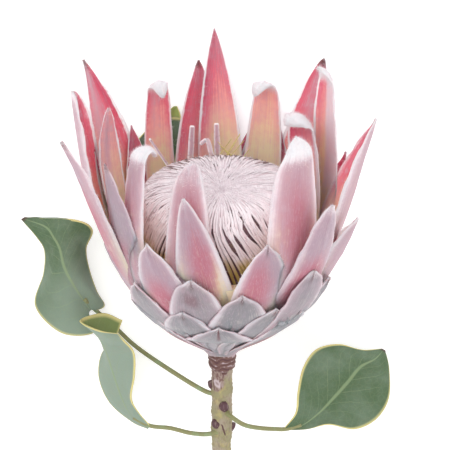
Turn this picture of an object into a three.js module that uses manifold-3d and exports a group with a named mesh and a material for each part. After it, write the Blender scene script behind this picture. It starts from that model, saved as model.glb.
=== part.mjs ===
// A king protea flower: the cut head on a piece of its woody stem, with four leaves, lying on its back.
import * as THREE from "three";
import { mergeVertices } from "three/addons/utils/BufferGeometryUtils.js";
import Module from "manifold-3d";

const wasm = await Module();
wasm.setup();

// Driving dimensions, in millimetres and degrees.
// The flower is drawn standing: the base of its head at the origin, +Z up through the head,
// +X to its right and +Y to its back. At the end it is laid on its back on the plane z = 0.
const LAY_ANGLE = 16.2; // the stem's axis still rises by this much once the flower lies down
const LIFT = 39.3; // height of the base of the head above the plane
const TO_CENTRE = [7.7, -26.6]; // brings the middle of the box over the origin
const CLEARANCE = 0.3; // between pieces that touch

const STEM_LENGTH = 120;
const STEM_RADIUS = 5.5;
const STEM_SIDES = 10;
const PETIOLE_RADIUS = 1.3;
const LEAF_THICKNESS = 0.9;

// The cup's outside, [height, radius]: the outermost scales' roots lie in it
const CUP = [
  [0, 7],
  [3.5, 10],
  [7.5, 16],
  [14, 25],
  [24.5, 38],
  [36, 48],
  [48, 53],
  [63, 58],
  [78, 62],
  [94, 65],
];
const SEAT_DEPTH = 4.5; // how deep the seat of the head lies below that outside
const SEAT_FOOT = 6.5; // radius at its foot
const SEAT_RIM = 63; // height of the seat's rim
const SEAT_FLOOR = 36; // height of the floor that the florets stand on
const SEAT_WALL = 7;
const SEAT_SIDES = 20;

const BRACT_ROOT_THICKNESS = 2.4;
const BRACT_TIP_THICKNESS = 1.1;
const BRACT_TIP_WIDTH = 0.9;
const BRACT_RIM_LOSS = 0.4; // share of its thickness that a bract loses towards its side margins

// The florets' core, [height above the seat's floor, radius], from the floor to the flat crown
const CORE = [
  [0, 26],
  [14, 33.5],
  [30, 39],
  [45, 41.5],
  [52, 41.5],
  [57, 39.5],
  [60.5, 34.5],
  [62.5, 26],
  [63.5, 14],
];
const CORE_TOP = 64;

// Forms of bract. base: width at the root as a share of the widest; widest: where that is along
// the blade; point and blunt: how the sides close to the tip; roll: half the angle of its hollow;
// hook: how far the tip curls inwards from hookFrom on; stations: the rings along the blade.
const PLAIN = [0, 0.25, 0.5, 0.75, 0.9, 1];
const CURLED = [0, 0.35, 0.65, 0.85, 0.9, 0.95, 1];
const SHORT = [0, 0.4, 0.75, 1];
const FORMS = {
  lance: { base: 0.75, widest: 0.42, point: 1.7, blunt: 1, roll: 38, stations: PLAIN },
  ovate: { base: 0.8, widest: 0.5, point: 2.2, blunt: 0.7, roll: 30, stations: PLAIN },
  scale: { base: 0.35, widest: 0.5, point: 2.2, blunt: 0.6, roll: 14, stations: SHORT },
  strap: { base: 0.9, widest: 0.4, point: 2.6, blunt: 0.6, roll: 30, stations: PLAIN },
  folded: { base: 0.8, widest: 0.4, point: 2.2, blunt: 0.5, roll: 70, stations: PLAIN },
  hood: {
    base: 0.75,
    widest: 0.42,
    point: 2.4,
    blunt: 0.5,
    roll: 40,
    hook: 90,
    hookFrom: 0.86,
    stations: CURLED,
  },
  curl: {
    base: 0.9,
    widest: 0.35,
    point: 2.6,
    blunt: 0.4,
    roll: 40,
    hook: 170,
    hookFrom: 0.84,
    stations: CURLED,
  },
};
const GRIP = [0.4, 0.38]; // how far the root's and the tip's direction reach along the midline
const SWAY_FROM = 0.8; // share of a bract above which its tip sways to the side

// The bracts: [azimuth from the front to the right, tip's radius, tip's height, root's height and
// depth in the cup, width, slope at the tip, form, and what is its own: another value than its
// form's, or lean and sway, how far its upper part and its very tip lie to the side, and twist]
const BRACTS = [
  // Tall inner bracts round the back, seen from inside
  [180.5, 68, 157, 38, 4.5, 23, 84, "lance", { lean: 3.5, blunt: 0.8 }],
  [192, 70, 138.5, 36, 4.5, 27, 84, "lance", { lean: -2, blunt: 0.75 }],
  [214, 62, 149, 36, 4.5, 18, 92, "curl", { sway: 4, blunt: 0.5 }],
  [240, 84, 149.5, 34, 4.5, 38, 68, "lance", { widest: 0.5 }],
  [262, 77.5, 145, 32, 4.5, 26, 86, "folded"],
  [252, 62, 132, 38, 4.5, 16, 96, "strap", { twist: -40 }],
  [289, 85, 133.5, 28, 4.5, 36, 66, "lance", { blunt: 0.7 }],
  [159, 62, 146, 36, 4.5, 22, 90, "curl", { lean: -3.5, sway: 4, widest: 0.25, point: 1.9, blunt: 0.5 }],
  [163, 68, 111, 36, 4.5, 22, 84, "lance"],
  [153, 68, 107, 36, 4.5, 24, 84, "lance"],
  [139.5, 76, 145.5, 36, 4.5, 32, 84, "lance", { lean: -6, blunt: 0.65 }],
  [116, 63, 156, 34, 4.5, 27, 88, "hood", { hook: 75, hookFrom: 0.9 }],
  [121, 51, 137, 38, 4.5, 31, 97, "curl", { sway: 3, lean: 2 }],
  [92, 79, 133, 28, 4.5, 34, 74, "lance", { roll: 76 }],
  [121, 77, 98, 30, 4.5, 30, 80, "lance"],
  // Two broad bracts under the head, which it lies on
  [167, 69.4, 101, 18, 4.5, 36, 84, "lance"],
  [192, 69.6, 105, 18, 4.5, 36, 84, "lance"],
  // Inner bracts at the front, standing before the florets
  [36, 58, 145, 34, 4.5, 31, 92, "hood", { lean: 6, sway: 4, hookFrom: 0.88 }],
  [312, 56, 148, 34, 4.5, 15, 96, "curl"],
  [303.5, 70, 126.5, 20, 4.5, 33, 80, "lance", { blunt: 0.75 }],
  [341, 52, 134, 34, 4.5, 23, 90, "hood"],
  [354, 63, 118, 16, 4.5, 28.5, 86, "lance", { lean: -12.5, blunt: 0.75 }],
  [21, 64, 92, 12, 3, 32, 84, "ovate"],
  [48, 74, 109, 16, 4.5, 36, 80, "lance", { blunt: 0.6 }],
  [75, 72.2, 87, 20, 3, 34, 70, "lance", { roll: 75 }],
  [332, 65, 89.5, 14, 3, 29.5, 82, "ovate", { lean: -8 }],
  [282, 62, 70, 18, 3, 30, 72, "lance"],
  // Outer scales at the front, close on the cup
  [348.5, 61.5, 72, 6, 1.5, 32, 78, "scale", { lean: -3.4, blunt: 0.5 }],
  [315, 60, 61, 8, 1.5, 32, 70, "scale", { lean: -3, blunt: 0.8 }],
  [42, 65, 70.5, 8, 1.5, 28, 80, "scale", { lean: 4, blunt: 0.4 }],
  [63, 61, 57, 10, 1.5, 30, 72, "scale", { lean: 2 }],
  [10, 60, 63, 4, 1.5, 34, 74, "scale"],
  [339, 56, 50, 2, 0, 33, 68, "scale"],
  [358, 52, 41, 0.5, -1.2, 36, 66, "scale", { blunt: 0.8 }],
  [24, 57, 51, 3, 0, 32, 68, "scale", { lean: 5 }],
  [42, 54, 44, 4, 0, 28, 64, "scale", { lean: 5 }],
  [305, 52, 44, 4, 0, 34, 64, "scale", { lean: -6 }],
];
// The outer rows at the back, where they follow a rule:
// [first azimuth, step, how many, then a bract's values from the tip's radius on]
const BACK_ROWS = [
  [88, 37, 6, 50, 43, 3, 0, 40, 62, "scale"],
  [106, 37, 5, 55, 54, 5, 1.5, 40, 68, "scale"],
  [98, 45, 4, 58, 67, 8, 3, 42, 74, "scale"],
  [108, 36, 5, 62, 85, 14, 4.5, 36, 82, "lance"],
  [132, 96, 2, 68, 108, 20, 4.5, 33, 84, "lance"],
];
const BACK_JITTER = { seed: 7, azimuth: 5, height: 5 };

// Florets: strips packed side by side round the core in tiers, each standing out at its tip.
// from and to are shares of the core's outline; turn is 1 where a tier's crests stand over the
// grooves of the tier below
const FLORET_COUNT = 36;
const FLORET_TIERS = [
  { from: 0, to: 0.52, steps: 4, turn: 0 },
  { from: 0.52, to: 0.78, steps: 3, turn: 1 },
  { from: 0.78, to: 0.95, steps: 2, turn: 0 },
];
const FLORET_CREST = 0.8; // how far a strip's back stands over the core at its foot
const FLORET_LIFT = 2.2; // and how much more it does at its tip
const FLORET_GROOVE = 1.3; // how deep the slits between strips are
const FLORET_JITTER = { seed: 11, lift: 1.6, along: 0.025 };
const TIER_GAP = 0.012; // share of the outline between a tier's tips and the next one's feet
const CROWN_SHARE = 0.99; // share of the outline at which the crown's small flat top begins
// Loose styles standing behind the crown: [azimuth, radius and height of the foot,
// radius and height of the tip, sideways lean, width]
const STYLES = [
  [208, 36, 94, 43.7, 112.5, -5.4, 3],
  [183.7, 36, 94, 46, 111.8, 0, 3],
  [187.6, 33, 94, 37.9, 105.8, 3, 2.6],
  [179.5, 36, 94, 45.1, 106, -9.2, 1.6],
  [165.9, 36, 94, 39.6, 100.8, 10.8, 1.6],
  [227.7, 36, 94, 48.9, 109.6, 2.9, 2.6],
];
const STYLE_TAPER = { from: 0.6, to: 2 / 3 }; // from where a style narrows, and to what share

// The stem's outline: [height below the head, radius as a share of STEM_RADIUS]
const STEM_OUTLINE = [
  [0, 1.42],
  [3, 1.4],
  [6, 1.34],
  [9, 1.32],
  [11, 1.06],
  [16, 1.02],
  [20, 1.04],
  [25, 1.1],
  [29, 1],
  [34, 1.02],
  [38, 1.08],
  [43, 1],
  [47, 1.1],
  [52, 1.06],
  [56, 0.96],
  [68, 0.97],
  [78, 1.08],
  [84, 0.98],
  [100, 0.97],
  [106, 1.06],
  [112, 0.99],
  [STEM_LENGTH, 1],
];
const STEM_BEND = [-1.5, 1.2]; // how far the cut end lies off the head's axis
// Buds: [azimuth, height, radius of the bud, length]
const BUDS = [
  [262, -23, 2.2, 5],
  [12, -33, 2.6, 5],
  [320, -44.5, 2.4, 4.6],
  [96, -49, 2.1, 5],
];
// A bud's outline from its root to its point: [share of its length, share of its radius]
const BUD_OUTLINE = [
  [0, 0.9],
  [0.35, 1],
  [0.75, 0.75],
  [1, 0.2],
];
const BUD_SIDES = 6;
const BUD_ROOT = 1.5; // how deep it is sunk in the stem
const BUD_RISE = [0.7, 0.6]; // how far it reaches outwards and upwards, as shares of its length
const BUD_FLATNESS = 0.5; // its thickness as a share of its width

// Leaves. rows: points across the blade from the left margin to the right one, from its base to
// its tip; stalk: points of the petiole from the stem to the blade's base.
const LEAVES = {
  leaf_upper_left: {
    stalk: [
      [-2, 0, -26],
      [-9, 0, -25.5],
      [-28, 8, -17],
      [-47, 22, -10],
      [-60, 29, 0],
      [-69, 27, 10],
      [-74, 20, 20],
    ],
    rows: [
      [[-73, 22, 10], [-72, 22, 11], [-71, 23, 12], [-70, 23, 12], [-68, 24, 11]],
      [[-70, 23, -2], [-73, 21, 7], [-75, 20, 20], [-69, 23, 20], [-64, 28, 12]],
      [[-87, 23, -2], [-84, 17, 14], [-80, 16, 32], [-74, 20, 31], [-68, 29, 20]],
      [[-101, 29, 11], [-93, 20, 24], [-84, 16, 42], [-77, 20, 42], [-72, 31, 33]],
      [[-96, 30, 30], [-91, 22, 40], [-86, 18, 51], [-78, 21, 53], [-73, 29, 46]],
      [[-95, 30, 44], [-92, 25, 49], [-89, 21, 56], [-80, 21, 61], [-69, 25, 59]],
      [[-99, 29, 53], [-97, 27, 56], [-94, 25, 61], [-86, 24, 66], [-78, 22, 66]],
      [[-107, 30, 63], [-106.6, 30, 63.2], [-106.2, 30, 63.4], [-105.8, 30, 63.7], [-105.4, 30, 64]],
    ],
  },
  leaf_lower_left: {
    stalk: [
      [-1, -3, -48],
      [-7.6, -5.4, -49],
      [-17, -4.3, -49],
      [-28, -1.7, -47.5],
      [-39, 0, -47],
      [-48, 2, -43],
    ],
    rows: [
      [[-40, 0.5, -49], [-39.8, 0.2, -48.4], [-39.6, 0, -47.8], [-39.4, -0.2, -47.2], [-39.2, -0.5, -46.6]],
      [[-49, 5, -47], [-48, 3, -45], [-48, 2, -43], [-47, 0, -40], [-45, 0, -39]],
      [[-61, 13, -40], [-58, 8, -37], [-53, 3, -34], [-50, 0, -31], [-49, -3, -28]],
      [[-67, 22, -30], [-64, 16, -26], [-58, 8, -21], [-52, 2, -16], [-47, -4, -14]],
      [[-66, 30, -20], [-64, 23, -16], [-62, 12, -9], [-54, 3, -2], [-47, -2, -1]],
      [[-59, 22, -7], [-64, 17, -3], [-66, 8, 3], [-60, -3, 8], [-52, -6, 9]],
      [[-54, 20, 7], [-64, 19, 12], [-76, 9, 13], [-66, -2, 13], [-55, -4, 12]],
    ],
  },
  leaf_right: {
    stalk: [
      [1, -2, -36],
      [5.9, -8.1, -37.4],
      [12.3, -5.7, -43.2],
      [20.5, -2.6, -46.9],
      [28.7, -0.1, -49],
      [35, 1, -49.6],
      [43, 2, -47.6],
    ],
    rows: [
      [[34, 1, -49], [34.4, 1, -49.3], [34.8, 1, -49.6], [35.2, 1, -49.9], [35.6, 1, -50.2]],
      [[40, -1, -38], [41, 1, -44], [43, 2, -48], [46, 2, -49], [47, 2, -50]],
      [[41, 2, -27], [47, 5, -35], [52, 6, -43], [55, 5, -46], [58, 3, -48]],
      [[44, 8, -15], [51, 9, -25], [60, 10, -36], [66, 8, -43], [72, 5, -52]],
      [[51, 13, -7], [59, 13, -16], [68, 14, -28], [76, 13, -38], [84, 12, -50]],
      [[63, 15, -5], [68, 16, -11], [75, 17, -20], [84, 17, -29], [91, 19, -41]],
      [[76, 18, -10], [79, 18, -13], [83, 19, -16], [88, 20, -20], [91, 22, -25]],
      [[87, 22, -11.6], [87.4, 22, -11.8], [87.8, 22, -12], [88.2, 22, -12.3], [88.6, 22, -12.6]],
    ],
  },
  leaf_behind: {
    stalk: [
      [-1, 3, -13],
      [-5, 12, -10],
      [-15, 26, -1],
      [-30, 36, 9],
      [-40, 41, 20],
      [-45, 45, 34],
    ],
    rows: [
      [[-43, 40.5, 23], [-42.6, 40.5, 22.8], [-42.2, 40.5, 22.6], [-41.8, 40.5, 22.4], [-41.4, 40.5, 22.2]],
      [[-60, 44.5, 38], [-52, 47.5, 38], [-45, 48.5, 38], [-39, 47.5, 38], [-33, 45.5, 38]],
      [[-64, 50.5, 58], [-54, 53.5, 58], [-44, 55.5, 58], [-36, 54.5, 58], [-29, 53.5, 58]],
      [[-57, 58.5, 80], [-48, 60.5, 80], [-39, 62.5, 80], [-32, 61.5, 80], [-26, 60.5, 80]],
      [[-43, 64.5, 97], [-38, 65.5, 97], [-32, 67.5, 97], [-27, 66.5, 97], [-22, 66.5, 97]],
      [[-32, 68.5, 106], [-30, 68.5, 106], [-27.5, 69.5, 106], [-25, 69.5, 106], [-22.5, 68.5, 106]],
      [[-26, 70.5, 111], [-25.6, 70.5, 111], [-25.2, 70.5, 111], [-24.8, 70.5, 111], [-24.4, 70.5, 111]],
    ],
  },
};
const LEAF_STEPS = [11, 5]; // divisions along and across a blade

// Small helpers

const radians = THREE.MathUtils.degToRad;
const point = (p) => new THREE.Vector3(...p);
const outward = (azimuth) =>
  new THREE.Vector3(Math.sin(radians(azimuth)), -Math.cos(radians(azimuth)), 0);
const sideways = (azimuth) =>
  new THREE.Vector3(Math.cos(radians(azimuth)), Math.sin(radians(azimuth)), 0);

// Repeatable random numbers from 0 to 1
function seededRandom(seed) {
  let state = seed;
  return () => {
    state = (state * 1103515245 + 12345) % 2147483648;
    return state / 2147483648;
  };
}

// Value at x on a line through [x, y] pairs
function between(pairs, x) {
  const next = pairs.findIndex((pair) => pair[0] >= x);
  if (next === 0) return pairs[0][1];
  if (next < 0) return pairs[pairs.length - 1][1];
  const [x0, y0] = pairs[next - 1];
  const [x1, y1] = pairs[next];
  return y0 + ((y1 - y0) * (x - x0)) / (x1 - x0);
}

// A closed geometry from points and triangles, as a solid with its faces turned outwards
function solidOf(geometry) {
  geometry.deleteAttribute("normal");
  geometry.deleteAttribute("uv");
  const merged = mergeVertices(geometry, 1e-4);
  const place = merged.getAttribute("position");
  const corner = (i) => new THREE.Vector3().fromBufferAttribute(place, i);
  const faces = [];
  let volume = 0;
  for (let i = 0; i < merged.index.count; i += 3) {
    const [a, b, c] = [0, 1, 2].map((k) => merged.index.getX(i + k));
    if (a === b || b === c || c === a) continue;
    faces.push(a, b, c);
    volume += corner(a).dot(corner(b).cross(corner(c)));
  }
  if (volume < 0) faces.reverse();
  return new wasm.Manifold(
    new wasm.Mesh({
      numProp: 3,
      vertProperties: Float32Array.from(place.array),
      triVerts: Uint32Array.from(faces),
    }),
  );
}

function geometryFrom(points, faces) {
  const geometry = new THREE.BufferGeometry().setFromPoints(points);
  geometry.setIndex(faces);
  return geometry;
}

// A solid with the same ring of points at each station, closed by flat ends
function loft(rings) {
  const sides = rings[0].length;
  const faces = [];
  const quad = (a, b, c, d) => faces.push(a, b, c, a, c, d);
  for (let i = 0; i + 1 < rings.length; i++) {
    for (let k = 0; k < sides; k++) {
      const next = (k + 1) % sides;
      quad(i * sides + k, i * sides + next, (i + 1) * sides + next, (i + 1) * sides + k);
    }
  }
  const last = (rings.length - 1) * sides;
  for (let k = 1; k + 1 < sides; k++) {
    faces.push(0, k + 1, k);
    faces.push(last, last + k, last + k + 1);
  }
  return solidOf(geometryFrom(rings.flat(), faces));
}

// A thin solid between two grids of points of one size, split into triangles alike on both faces
function slab(front, back) {
  const rows = front.length;
  const columns = front[0].length;
  const under = rows * columns;
  const faces = [];
  const quad = (a, b, c, d) => faces.push(a, b, c, a, c, d);
  const at = (i, j) => i * columns + j;
  for (let i = 0; i + 1 < rows; i++) {
    for (let j = 0; j + 1 < columns; j++) {
      const [a, b, c, d] = [at(i, j), at(i + 1, j), at(i + 1, j + 1), at(i, j + 1)];
      faces.push(a, b, c, a, c, d);
      faces.push(under + a, under + c, under + b, under + a, under + d, under + c);
    }
    quad(at(i, 0), under + at(i, 0), under + at(i + 1, 0), at(i + 1, 0));
    const end = columns - 1;
    quad(at(i, end), at(i + 1, end), under + at(i + 1, end), under + at(i, end));
  }
  for (let j = 0; j + 1 < columns; j++) {
    quad(at(0, j), at(0, j + 1), under + at(0, j + 1), under + at(0, j));
    const end = rows - 1;
    quad(at(end, j), under + at(end, j), under + at(end, j + 1), at(end, j + 1));
  }
  return solidOf(geometryFrom([...front.flat(), ...back.flat()], faces));
}

// A turned solid about the Z axis, from a profile of [radius, height] points
const turned = (profile, sides) => solidOf(new THREE.LatheGeometry(profile, sides).rotateX(Math.PI / 2));

// Joins solids into one body: a scrap that stays loose, or a hollow that is sealed in, is left out
function fuse(solids) {
  const whole = solids.reduce((sum, next) => sum.add(next));
  const bodies = whole.decompose();
  bodies.sort((a, b) => b.volume() - a.volume());
  return bodies[0];
}

// Bracts

// A bract's midline: radius, height and slope at even steps from its root to its tip
const MIDLINE_STEPS = 40;
function midline(tipRadius, tipHeight, rootHeight, rootDepth, tipSlope, { hook = 0, hookFrom = 1 }) {
  const root = new THREE.Vector2(between(CUP, rootHeight) - rootDepth, rootHeight);
  const tip = new THREE.Vector2(tipRadius, tipHeight);
  const reach = root.distanceTo(tip);
  const rise = 2;
  const rootSlope = Math.atan2(2 * rise, between(CUP, rootHeight + rise) - between(CUP, rootHeight - rise));
  const towards = (angle, length) =>
    new THREE.Vector2(Math.cos(angle), Math.sin(angle)).multiplyScalar(length);
  const curve = new THREE.CubicBezierCurve(
    root,
    root.clone().add(towards(rootSlope, reach * GRIP[0])),
    tip.clone().sub(towards(radians(tipSlope), reach * GRIP[1])),
    tip,
  );
  const drawn = curve.getPoints(MIDLINE_STEPS);
  const stations = [{ place: drawn[0].clone(), slope: rootSlope }];
  for (let i = 1; i <= MIDLINE_STEPS; i++) {
    const step = drawn[i].clone().sub(drawn[i - 1]);
    const along = (i - 0.5) / MIDLINE_STEPS;
    const curl = along > hookFrom ? (along - hookFrom) / (1 - hookFrom) : 0;
    const slope = step.angle() + radians(hook) * curl;
    const place = stations[i - 1].place.clone().add(towards(slope, step.length()));
    stations.push({ place, slope });
  }
  return stations;
}

function halfWidth(along, width, form) {
  if (along < form.widest) {
    const grown = form.base + (1 - form.base) * Math.sin((Math.PI / 2) * (along / form.widest));
    return (width / 2) * grown;
  }
  const left = (along - form.widest) / (1 - form.widest);
  return Math.max(BRACT_TIP_WIDTH / 2, (width / 2) * (1 - left ** form.point) ** form.blunt);
}

// A boat-shaped blade, hollow towards the florets
const ACROSS = [-1, -0.4, 0.4, 1];
const KEELED = [-1, 0, 1];
function bract([azimuth, tipRadius, tipHeight, rootHeight, rootDepth, width, tipSlope, formName, own]) {
  const form = { lean: 0, sway: 0, twist: 0, ...FORMS[formName], ...own };
  const across = form.stations === SHORT ? KEELED : ACROSS;
  const line = midline(tipRadius, tipHeight, rootHeight, rootDepth, tipSlope, form);
  const out = outward(azimuth);
  const side = sideways(azimuth);
  const front = [];
  const back = [];
  for (const along of form.stations) {
    const { place, slope } = line[Math.round(along * MIDLINE_STEPS)];
    const swayed = Math.max(0, (along - SWAY_FROM) / (1 - SWAY_FROM)) ** 1.5;
    const drift = form.lean * along ** 2 + form.sway * swayed;
    const centre = out.clone().multiplyScalar(place.x).setZ(place.y).addScaledVector(side, drift);
    const flat = out.clone().multiplyScalar(-Math.sin(slope)).setZ(Math.cos(slope));
    const turn = radians(form.twist) * along;
    const sideward = side.clone().multiplyScalar(Math.cos(turn)).addScaledVector(flat, Math.sin(turn));
    const inward = flat.clone().multiplyScalar(Math.cos(turn)).addScaledVector(side, -Math.sin(turn));
    const half = halfWidth(along, width, form);
    const bow = half * Math.tan(radians(form.roll / 2)) * (0.5 + 0.5 * along);
    const thickness = BRACT_ROOT_THICKNESS + (BRACT_TIP_THICKNESS - BRACT_ROOT_THICKNESS) * along;
    const outside = across.map((t) =>
      centre.clone().addScaledVector(sideward, half * t).addScaledVector(inward, bow * t * t),
    );
    const inside = outside.map((p, k) =>
      p.clone().addScaledVector(inward, thickness * (1 - BRACT_RIM_LOSS * across[k] ** 2)),
    );
    front.push(outside);
    back.push(inside);
  }
  return slab(front, back);
}

// The seat that the bracts and florets grow from: a bowl with a flat floor
function seat() {
  const outside = CUP.filter(([height]) => height <= SEAT_RIM).map(
    ([height, radius]) => new THREE.Vector2(Math.max(SEAT_FOOT, radius - SEAT_DEPTH), height),
  );
  const rim = between(CUP, SEAT_RIM) - SEAT_DEPTH - SEAT_WALL;
  const floor = between(CUP, SEAT_FLOOR) - SEAT_DEPTH - SEAT_WALL;
  const profile = [
    new THREE.Vector2(0, 0),
    ...outside,
    new THREE.Vector2(rim, SEAT_RIM),
    new THREE.Vector2(floor, SEAT_FLOOR),
    new THREE.Vector2(0, SEAT_FLOOR),
  ];
  return turned(profile, SEAT_SIDES);
}

function bractSolids() {
  const random = seededRandom(BACK_JITTER.seed);
  const behind = BACK_ROWS.flatMap(([first, step, count, radius, height, ...rest]) =>
    Array.from({ length: count }, (_, i) => [
      first + step * i + BACK_JITTER.azimuth * (random() - 0.5),
      radius,
      height + BACK_JITTER.height * (random() - 0.5),
      ...rest,
    ]),
  );
  return [...BRACTS, ...behind].map(bract);
}

// Florets

// A point of the core's outline, at a share of its length from the floor to the crown
const coreOutline = new THREE.SplineCurve([
  ...CORE.map(([height, radius]) => new THREE.Vector2(radius, SEAT_FLOOR + CLEARANCE + height)),
  new THREE.Vector2(0, SEAT_FLOOR + CLEARANCE + CORE_TOP),
]);

// The packed florets: the core's outline turned about the axis, with a crest and a groove for
// each strip, and a step where a tier's tips end
function packedFlorets() {
  const random = seededRandom(FLORET_JITTER.seed);
  const columns = FLORET_COUNT * 2;
  const rings = [];
  for (const { from, to, steps, turn } of FLORET_TIERS) {
    const tips = Array.from({ length: FLORET_COUNT }, () => ({
      lift: FLORET_LIFT + FLORET_JITTER.lift * (random() - 0.5),
      along: FLORET_JITTER.along * (random() - 0.5),
    }));
    for (let i = 0; i <= steps; i++) {
      const share = i / steps;
      rings.push(
        Array.from({ length: columns }, (_, k) => {
          const tip = tips[Math.floor(k / 2)];
          const isCrest = (k + turn) % 2 === 0;
          const along = from + (to - from - TIER_GAP) * share + (isCrest ? tip.along * share : 0);
          const height = isCrest ? FLORET_CREST + tip.lift * share ** 2 : -FLORET_GROOVE;
          return onCore((k * 360) / columns, along, height);
        }),
      );
    }
  }
  const feet = rings[0].map((p) => p.clone().setZ(SEAT_FLOOR + CLEARANCE));
  const crown = Array.from({ length: columns }, (_, k) => onCore((k * 360) / columns, CROWN_SHARE, 0));
  return loft([feet, ...rings.slice(1), crown]);
}

// A point at an azimuth and a share of the core's outline, raised from the core by a height
function onCore(azimuth, along, height) {
  const { x: radius, y: level } = coreOutline.getPoint(along);
  const tangent = coreOutline.getTangent(along);
  const out = outward(azimuth);
  return out.multiplyScalar(radius + tangent.y * height).setZ(level - tangent.x * height);
}

// A narrow upright strip behind the crown
function style([azimuth, footRadius, footHeight, tipRadius, tipHeight, lean, width]) {
  const out = outward(azimuth);
  const side = sideways(azimuth);
  const foot = out.clone().multiplyScalar(footRadius).setZ(footHeight);
  const tip = out.clone().multiplyScalar(tipRadius).setZ(tipHeight).addScaledVector(side, lean);
  const ring = (centre, half) => [
    centre.clone().addScaledVector(side, -half),
    centre.clone().addScaledVector(side, half),
    centre.clone().addScaledVector(out, half),
  ];
  const bend = foot.clone().lerp(tip, STYLE_TAPER.from);
  return loft([ring(foot, width / 2), ring(bend, width / 2), ring(tip, (width / 2) * STYLE_TAPER.to)]);
}

// Stem

// Where the stem's middle runs at a height below the head
function stemCentre(height) {
  const share = (-height / STEM_LENGTH) ** 2;
  return new THREE.Vector3(STEM_BEND[0] * share, STEM_BEND[1] * share, height);
}

// A bud in a leaf's axil, grown by a margin on all sides
function bud([azimuth, height, radius, length], margin) {
  const out = outward(azimuth);
  const side = sideways(azimuth);
  const root = stemCentre(height).addScaledVector(out, STEM_RADIUS - BUD_ROOT);
  const rings = BUD_OUTLINE.map(([share, fat]) => {
    const centre = root.clone().addScaledVector(out, share * length * BUD_RISE[0]);
    centre.z += share * length * BUD_RISE[1];
    const reach = radius * fat + margin;
    return Array.from({ length: BUD_SIDES }, (_, k) => {
      const turn = (k * 2 * Math.PI) / BUD_SIDES;
      const rim = centre.clone().addScaledVector(side, Math.cos(turn) * reach);
      rim.addScaledVector(out, -Math.sin(turn) * BUD_FLATNESS * reach);
      rim.z += Math.sin(turn) * reach;
      return rim;
    });
  });
  return loft(rings);
}

// The stem, its scaly collar and its buds, grown by a margin on all sides
function stem(margin = 0) {
  const rings = STEM_OUTLINE.map(([depth, share], i) => {
    const height = i === 0 ? margin - CLEARANCE : -depth;
    const centre = stemCentre(height);
    const radius = STEM_RADIUS * share + margin;
    return Array.from({ length: STEM_SIDES }, (_, k) => {
      const azimuth = (k * 360) / STEM_SIDES;
      return centre.clone().addScaledVector(outward(azimuth), radius);
    });
  });
  return fuse([loft(rings), ...BUDS.map((values) => bud(values, margin))]);
}

// Leaves

// Even points on a smooth curve through a row or a column of points
const smoothCurve = (points) => new THREE.CatmullRomCurve3(points, false, "catmullrom", 0.5);
const smooth = (points, steps) => smoothCurve(points).getPoints(steps);

function blade(rows) {
  const [along, across] = LEAF_STEPS;
  const rails = rows[0].map((_, j) => smooth(rows.map((row) => point(row[j])), along));
  const grid = rails[0].map((_, i) => smooth(rails.map((rail) => rail[i]), across));
  const last = grid.length - 1;
  const edge = grid[0].length - 1;
  const faceNormal = (i, j) => {
    const alongBlade = grid[Math.min(i + 1, last)][j].clone().sub(grid[Math.max(i - 1, 0)][j]);
    const acrossBlade = grid[i][Math.min(j + 1, edge)].clone().sub(grid[i][Math.max(j - 1, 0)]);
    return acrossBlade.cross(alongBlade).normalize();
  };
  const shifted = (amount) =>
    grid.map((row, i) => row.map((p, j) => p.clone().addScaledVector(faceNormal(i, j), amount)));
  return slab(shifted(LEAF_THICKNESS / 2), shifted(-LEAF_THICKNESS / 2));
}

function petiole(points) {
  const path = smoothCurve(points.map(point));
  const section = new THREE.Shape().absarc(0, 0, PETIOLE_RADIUS, 0, 2 * Math.PI, false);
  return solidOf(
    new THREE.ExtrudeGeometry(section, {
      extrudePath: path,
      steps: 3 * points.length,
      curveSegments: 3,
    }),
  );
}

// The flower, laid on its back, and the plane it rests on in the flower's own frame

const flower = new THREE.Group();
flower.rotation.x = radians(LAY_ANGLE - 90);
flower.position.set(...TO_CENTRE, LIFT);
flower.updateMatrixWorld(true);

const TABLE_SIZE = 900;
const tableBox = new THREE.BoxGeometry(TABLE_SIZE, TABLE_SIZE, TABLE_SIZE);
tableBox.translate(0, 0, -TABLE_SIZE / 2);
tableBox.applyMatrix4(flower.matrixWorld.clone().invert());
const table = solidOf(tableBox);

const MATERIALS = {
  bracts: { color: 0xd9a3b2, roughness: 0.62 },
  flower_dome: { color: 0xe8dfe4, roughness: 0.8 },
  stem: { color: 0xa39a72, roughness: 0.75 },
  leaf: { color: 0x6a8a60, roughness: 0.5 },
};

function addPiece(name, solid, finish) {
  const body = solid.getMesh();
  const geometry = new THREE.BufferGeometry();
  geometry.setAttribute("position", new THREE.BufferAttribute(body.vertProperties, 3));
  geometry.setIndex(new THREE.BufferAttribute(body.triVerts, 1));
  geometry.computeVertexNormals();
  const material = new THREE.MeshStandardMaterial({ ...finish, metalness: 0, flatShading: true });
  const mesh = new THREE.Mesh(geometry, material);
  mesh.name = name;
  flower.add(mesh);
}

addPiece("bracts", fuse([seat(), ...bractSolids()]).subtract(table), MATERIALS.bracts);
addPiece("flower_dome", fuse([packedFlorets(), ...STYLES.map(style)]), MATERIALS.flower_dome);
addPiece("stem", stem().subtract(table), MATERIALS.stem);

const stemRoom = stem(CLEARANCE);
for (const [name, { stalk, rows }] of Object.entries(LEAVES)) {
  const leaf = fuse([blade(rows), petiole(stalk)]).subtract(stemRoom);
  addPiece(name, fuse([leaf]), MATERIALS.leaf);
}

export default flower;
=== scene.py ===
"""A king protea flower: the cut head on its woody stem, with four leaves, lying on its back."""

import math

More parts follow.
